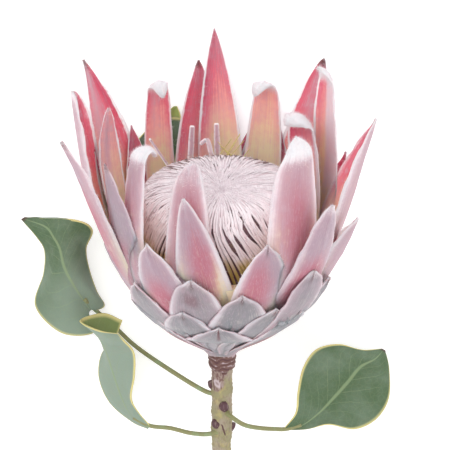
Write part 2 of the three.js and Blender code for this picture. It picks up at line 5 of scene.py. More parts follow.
import bmesh
import bpy
import numpy as np
from bpy.props import FloatProperty, FloatVectorProperty, IntProperty, PointerProperty
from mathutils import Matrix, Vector


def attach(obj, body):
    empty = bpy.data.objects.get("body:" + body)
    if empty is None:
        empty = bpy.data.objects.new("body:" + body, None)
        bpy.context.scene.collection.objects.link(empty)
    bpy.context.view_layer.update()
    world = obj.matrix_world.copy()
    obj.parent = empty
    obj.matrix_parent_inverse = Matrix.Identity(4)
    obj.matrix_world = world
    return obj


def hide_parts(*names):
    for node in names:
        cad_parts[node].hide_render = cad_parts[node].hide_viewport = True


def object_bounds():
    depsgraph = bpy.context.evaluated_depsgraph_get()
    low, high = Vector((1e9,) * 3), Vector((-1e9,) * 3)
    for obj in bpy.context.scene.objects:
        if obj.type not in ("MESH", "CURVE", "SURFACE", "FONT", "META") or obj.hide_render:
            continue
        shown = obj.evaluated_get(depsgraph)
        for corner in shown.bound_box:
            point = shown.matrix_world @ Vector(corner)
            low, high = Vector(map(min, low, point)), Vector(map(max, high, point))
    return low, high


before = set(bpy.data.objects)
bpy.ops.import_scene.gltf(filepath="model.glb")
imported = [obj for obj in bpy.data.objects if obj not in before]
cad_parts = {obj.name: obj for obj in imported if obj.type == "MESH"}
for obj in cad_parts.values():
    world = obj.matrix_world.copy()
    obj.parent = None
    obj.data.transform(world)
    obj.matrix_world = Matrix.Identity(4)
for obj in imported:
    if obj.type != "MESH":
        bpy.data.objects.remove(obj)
CAD_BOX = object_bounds()

bl_info = {
    "name": "Protea flower",
    "version": (1, 0, 0),
    "blender": (4, 5, 0),
    "location": "View3D > Sidebar > Protea",
    "description": "Dresses the frame of a cut king protea with bracts, florets, stem and leaves",
    "category": "Object",
}

# Lengths in this file are millimetres and angles degrees, unless a name says otherwise.
# The flower is drawn standing, as it is in the frame's own source: the base of its head at the
# origin, +Z up through the head, +X to its right and +Y to its back. laid() brings a point of it
# to its place in the frame, in metres.
LAY_ANGLE = 16.2
LIFT = 39.3
TO_CENTRE = (7.7, -26.6)
MM = 0.001
UP = np.array([0.0, 0.0, 1.0])

# The camera stands where the photograph was taken from, in front of the standing flower
PHOTO_PIXELS = 450
MM_PER_PIXEL = 0.52
HEAD_BASE_PIXEL = (222, 353)
CAMERA_RISE = 26.0
CAMERA_DISTANCE = 1250.0
SENSOR = 36.0
# The stage, in metres: the floor's side, and each lamp's place, diameter and power in watts
FLOOR_SIDE = 6.0
SKY_STRENGTH = 0.97
LAMPS = {
    "softbox_key": ((-0.5, 0.7, 1.5), 1.2, 5.0),
    "softbox_fill": ((0.7, -0.9, 1.2), 1.4, 3.0),
    "softbox_front": ((-0.1, 0.4, 1.5), 0.6, 3.0),
}

# The cup's outside, (height, radius): the outermost scales' roots lie in it
CUP = [
    (0, 7), (3.5, 10), (7.5, 16), (14, 25), (24.5, 38), (36, 48), (48, 53), (63, 58), (78, 62),
    (94, 65),
]
SEAT_DEPTH = 4.5
NECK = [(0, 7.9), (1.5, 9.2), (3.5, 9.9), (7.5, 12)]
SEAT_RIM = 63.0
SEAT_FLOOR = 36.0
SEAT_WALL = 7.0
BRACT_ROOT_THICKNESS = 2.4
BRACT_TIP_THICKNESS = 1.1
BRACT_TIP_WIDTH = 0.9
BRACT_RIM_LOSS = 0.75
GRIP = (0.4, 0.38)
SWAY_FROM = 0.8
MIDLINE_STEPS = 120

# Forms of bract: base, widest, point and blunt give the outline, roll the hollow, hook how far the
# tip curls inwards from hook_from on
FORMS = {
    "lance": dict(base=0.75, widest=0.42, point=1.7, blunt=1.0, roll=38),
    "ovate": dict(base=0.8, widest=0.5, point=2.2, blunt=0.7, roll=30),
    "scale": dict(base=0.35, widest=0.5, point=2.2, blunt=0.6, roll=14),
    "strap": dict(base=0.9, widest=0.4, point=2.6, blunt=0.6, roll=30),
    "folded": dict(base=0.8, widest=0.4, point=2.2, blunt=0.5, roll=70),
    "hood": dict(base=0.75, widest=0.42, point=2.4, blunt=0.5, roll=40, hook=90, hook_from=0.86),
    "curl": dict(base=0.9, widest=0.35, point=2.6, blunt=0.4, roll=40, hook=170, hook_from=0.84),
}
STRAIGHT = dict(hook=0, hook_from=0.9, lean=0, sway=0, twist=0)

# The bracts' colouring. Outside: blush is how pink, spot where most so (across, along), mauve how
# lilac the upper part is, cream how yellow the root and lower margins are, grey how dull a scale
# is, smudge and slit are marks that one scale each has. Inside: glow is how crimson, tan how far
# up the straw colour of the root reaches, ashen how lilac the middle is, lit on which side it is
# crimson, lip how far one margin is rolled in and pale, bloom how lilac the tip is. dark: a
# browned point, crest: how woolly the tip is, hem: how white and downy the margins are,
# hem_far the share of it that the farther margin has, apex: a dark mark at the tip's middle,
# paling: how pale the outside grows towards its margins.
PLAIN_DRESS = dict(
    blush=0.4, spot=(0.0, 0.55), mauve=0.3, cream=0.5, grey=0.0, smudge=0.0, slit=0.0,
    glow=0.85, tan=0.4, ashen=0.0, lit=0.0, lip=0.0, bloom=0.3, dark=0.0, crest=1.0, hem=0.75,
    hem_far=1.0, apex=0.0, paling=1.0,
)
# What the outer scales at the front share: faint white margins and a dark mark at the tip
SCALE = dict(hem=0.2, apex=0.8)
DULL_SCALE = 0.4  # a scale that is greyer than this has no coloured inside

# The bracts that the photograph shows: azimuth from the front to the right, the tip's radius and
# height, the root's height and depth in the cup, width, slope at the tip, form, what is its own
# (another value than its form's, or how it leans, sways and twists), and its colouring
BRACTS = [
    # Tall inner bracts round the back, seen from inside
    (180.5, 68, 157, 38, 4.5, 23, 84, "lance", dict(lean=3.5, blunt=0.8),
     dict(glow=0.95, tan=0.5, lit=0.8, bloom=0.5, hem=1.0)),
    (192, 70, 138.5, 36, 4.5, 27, 84, "lance", dict(lean=-2, blunt=0.75),
     dict(glow=0.85, tan=0.2, ashen=0.25, dark=0.8, hem=0.55)),
    (214, 62, 149, 36, 4.5, 18, 92, "curl", dict(sway=4, blunt=0.5),
     dict(glow=0.8, tan=0.5, ashen=0.5, bloom=0.1, hem=0.5)),
    (240, 84, 149.5, 34, 4.5, 38, 68, "lance", dict(widest=0.5),
     dict(glow=1.0, tan=0.55, ashen=0.9, lit=-0.9, lip=0.08, dark=0.7, hem=1.0)),
    (262, 77.5, 145, 32, 4.5, 26, 86, "folded", dict(),
     dict(glow=1.0, tan=0.4, blush=0.9, spot=(0.0, 0.5), mauve=0.3)),
    (252, 62, 132, 38, 4.5, 16, 96, "strap", dict(twist=-40),
     dict(glow=0.2, tan=0.3, ashen=0.9, hem=1.0)),
    (289, 85, 133.5, 28, 4.5, 36, 66, "lance", dict(blunt=0.7),
     dict(glow=0.9, blush=1.2, spot=(0.0, 0.5), mauve=0.6, dark=0.5, paling=0.4)),
    (159, 62, 146, 36, 4.5, 22, 90, "curl", dict(lean=-3.5, sway=4, widest=0.25, point=1.9, blunt=0.5),
     dict(glow=0.3, tan=0.5, ashen=0.35, bloom=0.15)),
    (163, 68, 111, 36, 4.5, 22, 84, "lance", dict(), dict(glow=1.0)),
    (153, 68, 107, 36, 4.5, 24, 84, "lance", dict(), dict(glow=0.8, tan=0.5)),
    (139.5, 76, 145.5, 36, 4.5, 32, 84, "lance", dict(lean=-6, blunt=0.65),
     dict(glow=0.85, tan=0.45, ashen=0.5, dark=0.9, hem=1.0)),
    (116, 63, 156, 34, 4.5, 27, 88, "hood", dict(hook=75, hook_from=0.9),
     dict(glow=0.6, tan=0.7, lit=0.6, lip=-1.3, bloom=0.0, crest=1.0, hem=1.0)),
    (121, 51, 137, 38, 4.5, 31, 97, "curl", dict(sway=3, lean=2),
     dict(glow=0.95, tan=0.45, lit=0.5, lip=-0.4)),
    (92, 79, 133, 28, 4.5, 34, 74, "lance", dict(roll=76),
     dict(glow=0.95, tan=0.5, hem=1.0, hem_far=0.1)),
    (121, 77, 98, 30, 4.5, 30, 80, "lance", dict(), dict(glow=1.0, tan=0.0, bloom=0.0, hem=0.0)),
    # Two broad bracts under the head, which it lies on
    (167, 69.4, 101, 18, 4.5, 36, 84, "lance", dict(), dict(glow=0.9, crest=0.0, hem=0.0)),
    (192, 69.6, 105, 18, 4.5, 36, 84, "lance", dict(), dict(glow=0.9, crest=0.0, hem=0.0)),
    # Inner bracts at the front, standing before the florets
    (36, 58, 145, 34, 4.5, 31, 92, "hood", dict(lean=6, sway=4, hook_from=0.88),
     dict(blush=0.75, spot=(0.0, 0.58), mauve=0.45, cream=0.8, hem=0.4)),
    (312, 56, 148, 34, 4.5, 15, 96, "curl", dict(),
     dict(blush=0.6, spot=(0.0, 0.5), mauve=0.6, glow=0.3, hem=0.4)),
    (303.5, 70, 126.5, 20, 4.5, 33, 80, "lance", dict(blunt=0.75),
     dict(blush=1.7, spot=(0.1, 0.36), mauve=1.4, grey=0.39, dark=0.6, hem=0.3, paling=0.0, crest=0.2)),
    (341, 52, 134, 34, 4.5, 23, 90, "hood", dict(), dict(blush=0.8, spot=(0.1, 0.62), crest=0.25)),
    (354, 63, 118, 16, 4.5, 28.5, 86, "lance", dict(lean=-12.5, blunt=0.75),
     dict(blush=0.9, spot=(0.2, 0.62), mauve=1.0, cream=2.2, hem=0.5)),
    (21, 64, 92, 12, 3, 32, 84, "ovate", dict(),
     dict(blush=0.85, spot=(-0.3, 0.66), mauve=1.0, cream=2.2, hem=0.5, apex=0.7)),
    (48, 74, 109, 16, 4.5, 36, 80, "lance", dict(blunt=0.6),
     dict(blush=1.8, spot=(-0.2, 0.42), mauve=1.1, cream=0.1, hem=0.4, paling=0.7)),
    (75, 72.2, 87, 20, 3, 34, 70, "lance", dict(roll=75),
     dict(glow=0.9, blush=0.3, mauve=0.4, cream=1.2, hem=0.8)),
    (332, 65, 89.5, 14, 3, 29.5, 82, "ovate", dict(lean=-8),
     dict(blush=1.15, spot=(-0.05, 0.5), mauve=0.95, cream=1.1, hem=0.5, apex=0.4)),
    (282, 62, 70, 18, 3, 30, 72, "lance", dict(),
     dict(blush=0.4, mauve=0.9, cream=1.0, dark=0.5, hem=0.6)),
    # Outer scales at the front, close on the cup
    (348.5, 61.5, 72, 6, 1.5, 32, 78, "scale", dict(lean=-3.4, blunt=0.5),
     dict(SCALE, blush=0.3, spot=(0.4, 0.45), mauve=0.4, grey=0.7, smudge=0.75)),
    (315, 60, 61, 8, 1.5, 32, 70, "scale", dict(lean=-3, blunt=0.8),
     dict(SCALE, blush=0.25, spot=(0.3, 0.4), mauve=0.4, grey=0.8)),
    (42, 65, 70.5, 8, 1.5, 28, 80, "scale", dict(lean=4, blunt=0.4),
     dict(SCALE, blush=1.5, spot=(-0.3, 0.38), mauve=0.7, grey=0.65, paling=0.6)),
    (63, 61, 57, 10, 1.5, 30, 72, "scale", dict(lean=2), dict(SCALE, blush=0.2, mauve=0.2, grey=0.9)),
    (10, 60, 63, 4, 1.5, 34, 74, "scale", dict(),
     dict(SCALE, blush=0.25, spot=(0.1, 0.35), mauve=0.5, grey=0.9)),
    (339, 56, 50, 2, 0, 33, 68, "scale", dict(), dict(SCALE, blush=0.2, mauve=0.4, grey=0.95)),
    (358, 52, 41, 0.5, -1.2, 36, 66, "scale", dict(blunt=0.8),
     dict(SCALE, blush=0.0, mauve=0.3, grey=0.95, slit=1.0)),
    (24, 57, 51, 3, 0, 32, 68, "scale", dict(lean=5), dict(SCALE, blush=0.15, mauve=0.3, grey=0.95)),
    (42, 54, 44, 4, 0, 28, 64, "scale", dict(lean=5), dict(SCALE, grey=0.95, dark=0.5)),
    (305, 52, 44, 4, 0, 34, 64, "scale", dict(lean=-6), dict(SCALE, grey=1.0)),
]
FIRST_FRONT_BRACT = 17  # the rows above it stand round the back
# The outer rows at the back: first azimuth, step, how many, then a bract's values
BACK_ROWS = [
    (88, 37, 6, 50, 43, 3, 0, 40, 62, "scale", dict(), dict(grey=0.7)),
    (106, 37, 5, 55, 54, 5, 1.5, 40, 68, "scale", dict(), dict(grey=0.6)),
    (98, 45, 4, 58, 67, 8, 3, 42, 74, "scale", dict(), dict(grey=0.4)),
    (108, 36, 5, 62, 85, 14, 4.5, 36, 82, "lance", dict(), dict(blush=0.6, mauve=0.6)),
    (132, 96, 2, 68, 108, 20, 4.5, 33, 84, "lance", dict(), dict(blush=0.7, mauve=0.6)),
]
BACK_JITTER = dict(seed=7, azimuth=5, height=5)
BRACT_SEED = 20  # the first bract's, each next one has the next number
# Points along a bract and across it: those that the photograph shows, and the outer rows
FINE_GRID = (50, 17)
COARSE_GRID = (30, 11)
SEAT_SIDES = 64

# The florets' core, (height above the seat's floor, radius), from the floor to the flat crown
CORE = [
    (0, 26), (14, 33.5), (30, 39), (45, 41.5), (52, 41.5), (57, 39.5), (60.5, 34.5), (62.5, 26),
    (63.5, 14), (64, 0),
]
CLEARANCE = 0.3
CORE_DEPTH = 0.7  # how far the dark core lies below the florets' feet
RIM_HEIGHT = 54.0  # height above the floor up to which the florets climb the core's wall
POLE = (0.0, -15.0)  # the point of the crown that they bend to
# How far the florets lean on the wall, in degrees round for each millimetre up: (azimuth, lean)
FLORET_LEAN = [
    (-180, 0.0), (-120, 0.3), (-90, 0.8), (-60, 1.1), (-40, 1.0), (-20, 0.1), (0, -0.75),
    (15, -0.9), (28, -1.2), (50, -0.9), (90, -0.6), (130, -0.2), (180, 0.0),
]
FLORET_STATIONS = 11
# A floret's section, (across, out) as shares of its width and thickness
FLORET_SECTION = [(-0.5, 0.05), (-0.32, 0.5), (0.32, 0.5), (0.5, 0.05), (0.0, -0.5)]
# Rings of florets. start and end: 0 is the foot of the wall, 1 its top, 2 the pole
FLORET_RINGS = [
    dict(start=0.0, end=1.1, count=176, width=1.0, lift=1.3),
    dict(start=0.5, end=1.22, count=160, width=0.9, lift=1.3),
    dict(start=0.86, end=1.36, count=140, width=0.87, lift=1.3),
    dict(start=1.02, end=1.5, count=116, width=0.8, lift=1.2),
    dict(start=1.16, end=1.62, count=96, width=0.77, lift=1.1),
    dict(start=1.3, end=1.74, count=76, width=0.73, lift=1.0),
    dict(start=1.44, end=1.85, count=56, width=0.73, lift=1.0),
    dict(start=1.6, end=1.94, count=38, width=0.7, lift=0.9),
    dict(start=1.76, end=1.99, count=22, width=0.7, lift=0.9),
]
# Brown tips: on florets within so many degrees of this azimuth that end before this place
RUSTY = dict(azimuth=188, within=50, end=1.3)
CORE_SIDES = 72
CORE_STRIDE = 8  # the dark core has every eighth point of the outline that the florets follow
# Hairs to the square millimetre where the wool is full, and how far they lean
WOOL_DENSITY = 2.6
DOWN_DENSITY = 2.2
HAIR_LEAN = 0.9
# Open slits between florets: azimuth and height above the floor of both ends, half the opening
SLITS = [
    (-1.5, 56.5, 14.0, 36.6, 0.75),
    (4.0, 55.6, 19.0, 39.4, 0.55),
    (11.5, 56.6, 27.5, 43.7, 0.75),
    (15.0, 58.0, 26.5, 46.8, 0.6),
    (21.5, 59.4, 29.0, 52.1, 0.5),
    (-9.0, 56.0, -5.0, 50.0, 0.35),
    (30.0, 58.5, 35.0, 51.0, 0.4),
    (-67.0, 34.1, -40.5, 57.8, 0.6),
    (-75.5, 57.2, -64.0, 61.4, 0.35),
    (-56.0, 55.9, -50.0, 60.2, 0.3),
    (11.0, 60.4, 18.0, 56.6, 0.3),
]
STYLE_STATIONS = 24
STYLE_SIDES = 10
# Loose styles behind the crown: azimuth, radius and height of the foot, of the tip, sideways
# lean, width, flatness, how far the tip hooks aside, tone from 0 (pink) to 1 (yellow)
STYLES = [
    (208, 36, 94, 43.7, 112.5, -5.4, 3.5, 0.3, 0.0, 0.25),
    (183.7, 36, 94, 46, 111.8, 0, 3.3, 0.3, 0.0, 0.3),
    (187.6, 33, 94, 37.9, 105.8, 3, 2.6, 0.7, 3.6, 0.0),
    (179.5, 36, 94, 45.1, 106, -9.2, 0.7, 1.0, 0.0, 1.0),
    (165.9, 36, 94, 39.6, 100.8, 10.8, 0.7, 1.0, 0.0, 1.0),
    (227.7, 36, 94, 48.9, 109.6, 2.9, 2.0, 0.3, 0.0, 0.5),
    (169.2, 36, 94, 38, 104.1, 9.7, 0.5, 1.0, 0.0, 1.0),
    (176.7, 36, 94, 38, 105.3, -9.3, 0.5, 1.0, 0.0, 1.0),
    (186.2, 36, 94, 38, 105.9, -9.2, 0.5, 1.0, 0.0, 1.0),
    (165.3, 36, 94, 38, 101.3, -5.0, 0.5, 1.0, 0.0, 1.0),
]

# The stem's outline, (depth below the head, radius as a share of the stem's), and its buds,
# (azimuth, height, radius, length)
STEM_LENGTH = 120.0
STEM_RADIUS = 5.5
STEM_OUTLINE = [
    (0, 1.42), (3, 1.4), (6, 1.34), (9, 1.32), (11, 1.06), (16, 1.02), (20, 1.04), (25, 1.1),
    (29, 1), (34, 1.02), (38, 1.08), (43, 1), (47, 1.1), (52, 1.06), (56, 0.96), (68, 0.97),
    (78, 1.08), (84, 0.98), (100, 0.97), (106, 1.06), (112, 0.99), (STEM_LENGTH, 1),
]
STEM_BEND = (-1.5, 1.2)
COLLAR_DEPTH = 10.0
BUDS = [(262, -23, 2.2, 5), (12, -33, 2.6, 5), (320, -44.5, 2.4, 4.6), (96, -49, 2.1, 5)]
BUD_OUTLINE = [(0, 0.9), (0.35, 1), (0.75, 0.75), (1, 0.2)]
BUD_ROOT = 1.5
BUD_RISE = (0.7, 0.6)
BUD_FLATNESS = 0.5
BUD_STATIONS = 12
BUD_SIDES = 16
STEM_SIDES = 56
STEM_RINGS = 260
# Marks on the stem: azimuth and width in degrees round it, depth below the head, top and foot the
# depths between which a mark comes and goes, slant the degrees that the split turns for each
# millimetre down, past the depth at which it faces the front
WORN_PATCH = dict(azimuth=-35, width=55, top=(7, 10), foot=(19, 26))
LEAF_SCAR = dict(azimuth=-28, width=20, depth=18, height=2.0)
BARK_SPLIT = dict(slant=3, width=5, depth=43, top=(42, 44), foot=(49, 52))

PETIOLE_RADIUS = 1.3
# Leaves: rows of points across the blade from the left margin to the right one, from its base
# to its tip, and points of the stalk from the stem to the blade. turned: its lower face is the
# one that the rows' left to right order makes the upper, and its other face gets painted light,
# a yellow-green wash; fresh: from where its tip is yellow-green,
# base_painted_light: how much painted light, in the lower face's paler colour, lies on the
# upper face towards the base
PLAIN_LEAF = dict(turned=False, fresh=2.0, base_painted_light=0.0)
LEAVES = {
    "leaf_upper_left": dict(
        base_painted_light=0.8,
        stalk=[(-2, 0, -26), (-9, 0, -25.5), (-28, 8, -17), (-47, 22, -10), (-60, 29, 0),
               (-69, 27, 10), (-74, 20, 20)],
        rows=[
            [(-73, 22, 10), (-72, 22, 11), (-71, 23, 12), (-70, 23, 12), (-68, 24, 11)],
            [(-70, 23, -2), (-73, 21, 7), (-75, 20, 20), (-69, 23, 20), (-64, 28, 12)],
            [(-87, 23, -2), (-84, 17, 14), (-80, 16, 32), (-74, 20, 31), (-68, 29, 20)],
            [(-101, 29, 11), (-93, 20, 24), (-84, 16, 42), (-77, 20, 42), (-72, 31, 33)],
            [(-96, 30, 30), (-91, 22, 40), (-86, 18, 51), (-78, 21, 53), (-73, 29, 46)],
            [(-95, 30, 44), (-92, 25, 49), (-89, 21, 56), (-80, 21, 61), (-69, 25, 59)],
            [(-99, 29, 53), (-97, 27, 56), (-94, 25, 61), (-86, 24, 66), (-78, 22, 66)],
            [(-107, 30, 63), (-106.6, 30, 63.2), (-106.2, 30, 63.4), (-105.8, 30, 63.7),
             (-105.4, 30, 64)],
        ],
    ),
    "leaf_lower_left": dict(
        turned=True,
        stalk=[(-1, -3, -48), (-7.6, -5.4, -49), (-17, -4.3, -49), (-28, -1.7, -47.5),
               (-39, 0, -47), (-48, 2, -43)],
        rows=[
            [(-40, 0.5, -49), (-39.8, 0.2, -48.4), (-39.6, 0, -47.8), (-39.4, -0.2, -47.2),
             (-39.2, -0.5, -46.6)],
            [(-49, 5, -47), (-48, 3, -45), (-48, 2, -43), (-47, 0, -40), (-45, 0, -39)],
            [(-61, 13, -40), (-58, 8, -37), (-53, 3, -34), (-50, 0, -31), (-49, -3, -28)],
            [(-67, 22, -30), (-64, 16, -26), (-58, 8, -21), (-52, 2, -16), (-47, -4, -14)],
            [(-66, 30, -20), (-64, 23, -16), (-62, 12, -9), (-54, 3, -2), (-47, -2, -1)],
            [(-59, 22, -7), (-64, 17, -3), (-66, 8, 3), (-60, -3, 8), (-52, -6, 9)],
            [(-54, 20, 7), (-64, 19, 12), (-76, 9, 13), (-66, -2, 13), (-55, -4, 12)],
        ],
    ),
    "leaf_right": dict(
        stalk=[(1, -2, -36), (5.9, -8.1, -37.4), (12.3, -5.7, -43.2), (20.5, -2.6, -46.9),
               (28.7, -0.1, -49), (35, 1, -49.6), (43, 2, -47.6)],
        rows=[
            [(34, 1, -49), (34.4, 1, -49.3), (34.8, 1, -49.6), (35.2, 1, -49.9), (35.6, 1, -50.2)],
            [(40, -1, -38), (41, 1, -44), (43, 2, -48), (46, 2, -49), (47, 2, -50)],
            [(41, 2, -27), (47, 5, -35), (52, 6, -43), (55, 5, -46), (58, 3, -48)],
            [(44, 8, -15), (51, 9, -25), (60, 10, -36), (66, 8, -43), (72, 5, -52)],
            [(51, 13, -7), (59, 13, -16), (68, 14, -28), (76, 13, -38), (84, 12, -50)],
            [(63, 15, -5), (68, 16, -11), (75, 17, -20), (84, 17, -29), (91, 19, -41)],
            [(76, 18, -10), (79, 18, -13), (83, 19, -16), (88, 20, -20), (91, 22, -25)],
            [(87, 22, -11.6), (87.4, 22, -11.8), (87.8, 22, -12), (88.2, 22, -12.3),
             (88.6, 22, -12.6)],
        ],
    ),
    "leaf_behind": dict(
        fresh=0.8,
        stalk=[(-1, 3, -13), (-5, 12, -10), (-15, 26, -1), (-30, 36, 9), (-40, 41, 20),
               (-45, 45, 34)],
        rows=[
            [(-43, 40.5, 23), (-42.6, 40.5, 22.8), (-42.2, 40.5, 22.6), (-41.8, 40.5, 22.4),
             (-41.4, 40.5, 22.2)],
            [(-60, 44.5, 38), (-52, 47.5, 38), (-45, 48.5, 38), (-39, 47.5, 38), (-33, 45.5, 38)],
            [(-64, 50.5, 58), (-54, 53.5, 58), (-44, 55.5, 58), (-36, 54.5, 58), (-29, 53.5, 58)],
            [(-57, 58.5, 80), (-48, 60.5, 80), (-39, 62.5, 80), (-32, 61.5, 80), (-26, 60.5, 80)],
            [(-43, 64.5, 97), (-38, 65.5, 97), (-32, 67.5, 97), (-27, 66.5, 97), (-22, 66.5, 97)],
            [(-32, 68.5, 106), (-30, 68.5, 106), (-27.5, 69.5, 106), (-25, 69.5, 106),
             (-22.5, 68.5, 106)],
            [(-26, 70.5, 111), (-25.6, 70.5, 111), (-25.2, 70.5, 111), (-24.8, 70.5, 111),
             (-24.4, 70.5, 111)],
        ],
    ),
}


# Sizes and colours that a user would change


def shade(code):
    """The scene-linear colour of a hex code."""
    channels = [int(code[i:i + 2], 16) / 255 for i in (0, 2, 4)]
    return tuple(c / 12.92 if c <= 0.04045 else ((c + 0.055) / 1.055) ** 2.4 for c in channels)


def colour(name, description, code):
    return FloatVectorProperty(
        name=name, description=description, default=shade(code), subtype="COLOR", min=0, max=1
    )


def length(name, description, millimetres):
    return FloatProperty(
        name=name,
        description=description,
        default=millimetres * MM,
        min=0,
        subtype="DISTANCE",
        unit="LENGTH",
        precision=5,
    )


class ProteaSizes(bpy.types.PropertyGroup):
    floret_width: length("Floret width", "Width of the widest florets", 1.75)
    floret_thickness: length("Floret thickness", "Thickness of one floret", 0.8)
    down_length: length("Down length", "Length of the hairs on the florets' tips", 2.4)
    wool_length: length("Wool length", "Length of the hairs on the bracts' crests", 1.9)
    hair_width: length("Hair width", "Width of a hair at its root", 0.12)
    leaf_thickness: length("Leaf thickness", "Thickness of a leaf's blade", 0.9)
    margin_width: length("Margin width", "Thickness of a leaf's horny margin", 1.1)
    seed: IntProperty(name="Seed", description="Seed of every random draw", default=5, min=0)


class ProteaColours(bpy.types.PropertyGroup):
    silver: colour("Silver", "Downy outside of a bract", "bca2ac")
    mauve: colour("Mauve", "Upper part of a bract's outside", "a994a1")
    blush: colour("Blush", "Deepest pink of a bract's outside", "b36c7c")
    cream: colour("Cream", "Root and lower margins of a bract", "dcc8a6")
    ash: colour("Ash", "Dull lowest scales", "87858a")
    crimson: colour("Crimson", "Inside of a bract near its tip", "b83a5e")
    rose: colour("Rose", "Inside of a bract above its middle", "d66e82")
    salmon: colour("Salmon", "Inside of a bract at its middle", "ebada6")
    straw: colour("Straw", "Inside of a bract near its root", "ecd4b2")
    dusk: colour("Dusk", "Lilac middle of a bract's inside", "d2a4b0")
    margin: colour("Margin", "Pale margin of a bract", "dccbd2")
    rim: colour("Rim", "Thin edge of a bract", "b9949e")
    wool: colour("Wool", "Woolly crests and hairs", "f3eef1")
    brown: colour("Brown", "Withered points", "5a3a3c")
    floret: colour("Floret", "Florets", "f9f0f3")
    # the core's colour is painted shade between the florets, and also the colour of real marks and
    # specks
    slit: colour("Slit", "Dark core between the florets", "7e5f68")
    olive: colour("Olive", "Florets' feet and thin styles", "c4b16c")
    leaf: colour("Leaf", "Leaf's upper face", "52674a")
    # also painted light on a leaf's upper face towards its base
    leaf_back_and_painted_light: colour("Leaf back", "Leaf's lower face", "8a998a")
    # also painted light on the shaded face of a turned leaf
    young_green_and_painted_light: colour("Young leaf", "Tip of the leaf behind the head", "9dab62")
    stalk: colour("Stalk", "Leaf's stalk", "8b8a62")
    vein: colour("Vein", "Leaf's veins", "8d9f78")
    leaf_margin: colour("Leaf margin", "Leaf's horny margin", "d9cf8e")
    bark: colour("Bark", "Stem's bark", "958e6b")
    bark_patch: colour("Bark patch", "Grey-pink patches of the bark", "a8968c")
    collar: colour("Collar", "Scaly collar under the head", "70504a")
    bud: colour("Bud", "Buds", "5b3d44")
    floor: colour("Floor", "Studio floor", "fcfcfc")


def sizes():
    return bpy.context.scene.protea_sizes


def colours():
    return bpy.context.scene.protea_colours


# Points and meshes


def laid(points):
    """Points of the standing flower, brought to their place in the frame, in metres."""
    x, y, z = np.moveaxis(np.asarray(points, float), -1, 0)
    turn = math.radians(LAY_ANGLE)
    placed = np.stack(
        [
            x + TO_CENTRE[0],
            y * math.sin(turn) + z * math.cos(turn) + TO_CENTRE[1],
            -y * math.cos(turn) + z * math.sin(turn) + LIFT,
        ],
        axis=-1,
    )
    placed[..., 2] = np.maximum(placed[..., 2], 0)
    return placed * MM


def outward(azimuth):
    angle = math.radians(azimuth)
    return np.array([math.sin(angle), -math.cos(angle), 0.0])


def sideways(azimuth):
    angle = math.radians(azimuth)
    return np.array([math.cos(angle), math.sin(angle), 0.0])


def unit(vectors):
    return vectors / np.maximum(np.linalg.norm(vectors, axis=-1, keepdims=True), 1e-9)


def seeded_random(seed):
    """The same repeatable numbers from 0 to 1 that the frame's own source draws."""
    state = seed
    while True:
        state = (state * 1103515245 + 12345) % 2147483648
        yield state / 2147483648


def smoothstep(value, low, high):
    share = np.clip((value - low) / (high - low), 0, 1)
    return share * share * (3 - 2 * share)


def wave(position, seed, octaves=3):
    """Smooth noise along a line, from about -1 to 1, the same for one seed on every run."""
    random = np.random.default_rng(seed)
    total = np.zeros_like(np.asarray(position, float))
    for octave in range(octaves):
        phase, tilt = random.uniform(0, 2 * math.pi, 2)
        rate = (octave + 1) * 1.7
        total += np.sin(rate * position + phase) * np.cos(0.6 * rate * position + tilt) / (octave + 1)
    return total


def tube_faces(rings, sides, first=0):
    """Quads between rings of points, in order, with a flat cap at both ends."""
    faces = []
    for i in range(rings - 1):
        low = first + i * sides
        for k in range(sides):
            after = (k + 1) % sides
            faces.append((low + k, low + after, low + sides + after, low + sides + k))
    end = first + (rings - 1) * sides
    faces.append(tuple(first + k for k in reversed(range(sides))))
    faces.append(tuple(end + k for k in range(sides)))
    return faces


class Clay:
    """Points, faces, fields and UV places gathered for one mesh."""

    def __init__(self):
        self.points = []
        self.faces = []
        self.places = []
        self.fields = {}
        self.count = 0

    def add_tube(self, rings, places=None, **fields):
        """Adds a closed body with one ring of points after another, shape (rings, sides, 3)."""
        rings = np.asarray(rings, float)
        amount, sides = rings.shape[:2]
        self.points.append(rings.reshape(-1, 3))
        self.faces += tube_faces(amount, sides, self.count)
        self.places.append(
            np.zeros((amount * sides, 2)) if places is None else np.reshape(places, (-1, 2))
        )
        for name, values in fields.items():
            spread = np.broadcast_to(np.asarray(values, float), (amount, sides)).reshape(-1)
            self.fields.setdefault(name, []).append(spread)
        self.count += amount * sides

    def piece(self, name, material, smooth=True):
        """The mesh object, with its faces turned outwards."""
        mesh = bpy.data.meshes.new(name)
        mesh.from_pydata(laid(np.concatenate(self.points)).tolist(), [], self.faces)
        for field, values in self.fields.items():
            layer = mesh.attributes.new(field, "FLOAT", "POINT")
            layer.data.foreach_set("value", np.concatenate(values).astype(np.float32))
        corners = np.zeros(len(mesh.loops), np.int32)
        mesh.loops.foreach_get("vertex_index", corners)
        uv = mesh.uv_layers.new(name="UVMap")
        uv.data.foreach_set("uv", np.concatenate(self.places)[corners].astype(np.float32).ravel())
        mesh.polygons.foreach_set("use_smooth", np.full(len(mesh.polygons), smooth))
        mesh.materials.append(material)
        piece = bpy.data.objects.new(name, mesh)
        bpy.context.scene.collection.objects.link(piece)
        turn_outwards(piece)
        return piece


def turn_outwards(piece):
    """Turns every closed body of the mesh so that its faces point outwards."""
    body = bmesh.new()
    body.from_mesh(piece.data)
    bmesh.ops.recalc_face_normals(body, faces=body.faces)
    body.to_mesh(piece.data)
    body.free()


def settle(piece, slot, *nodes):
    """Fixes a piece to the flower's one body, in place of the frame's nodes that it stands for."""
    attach(piece, "root")
    if nodes:
        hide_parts(*nodes)
    return piece


# Node trees


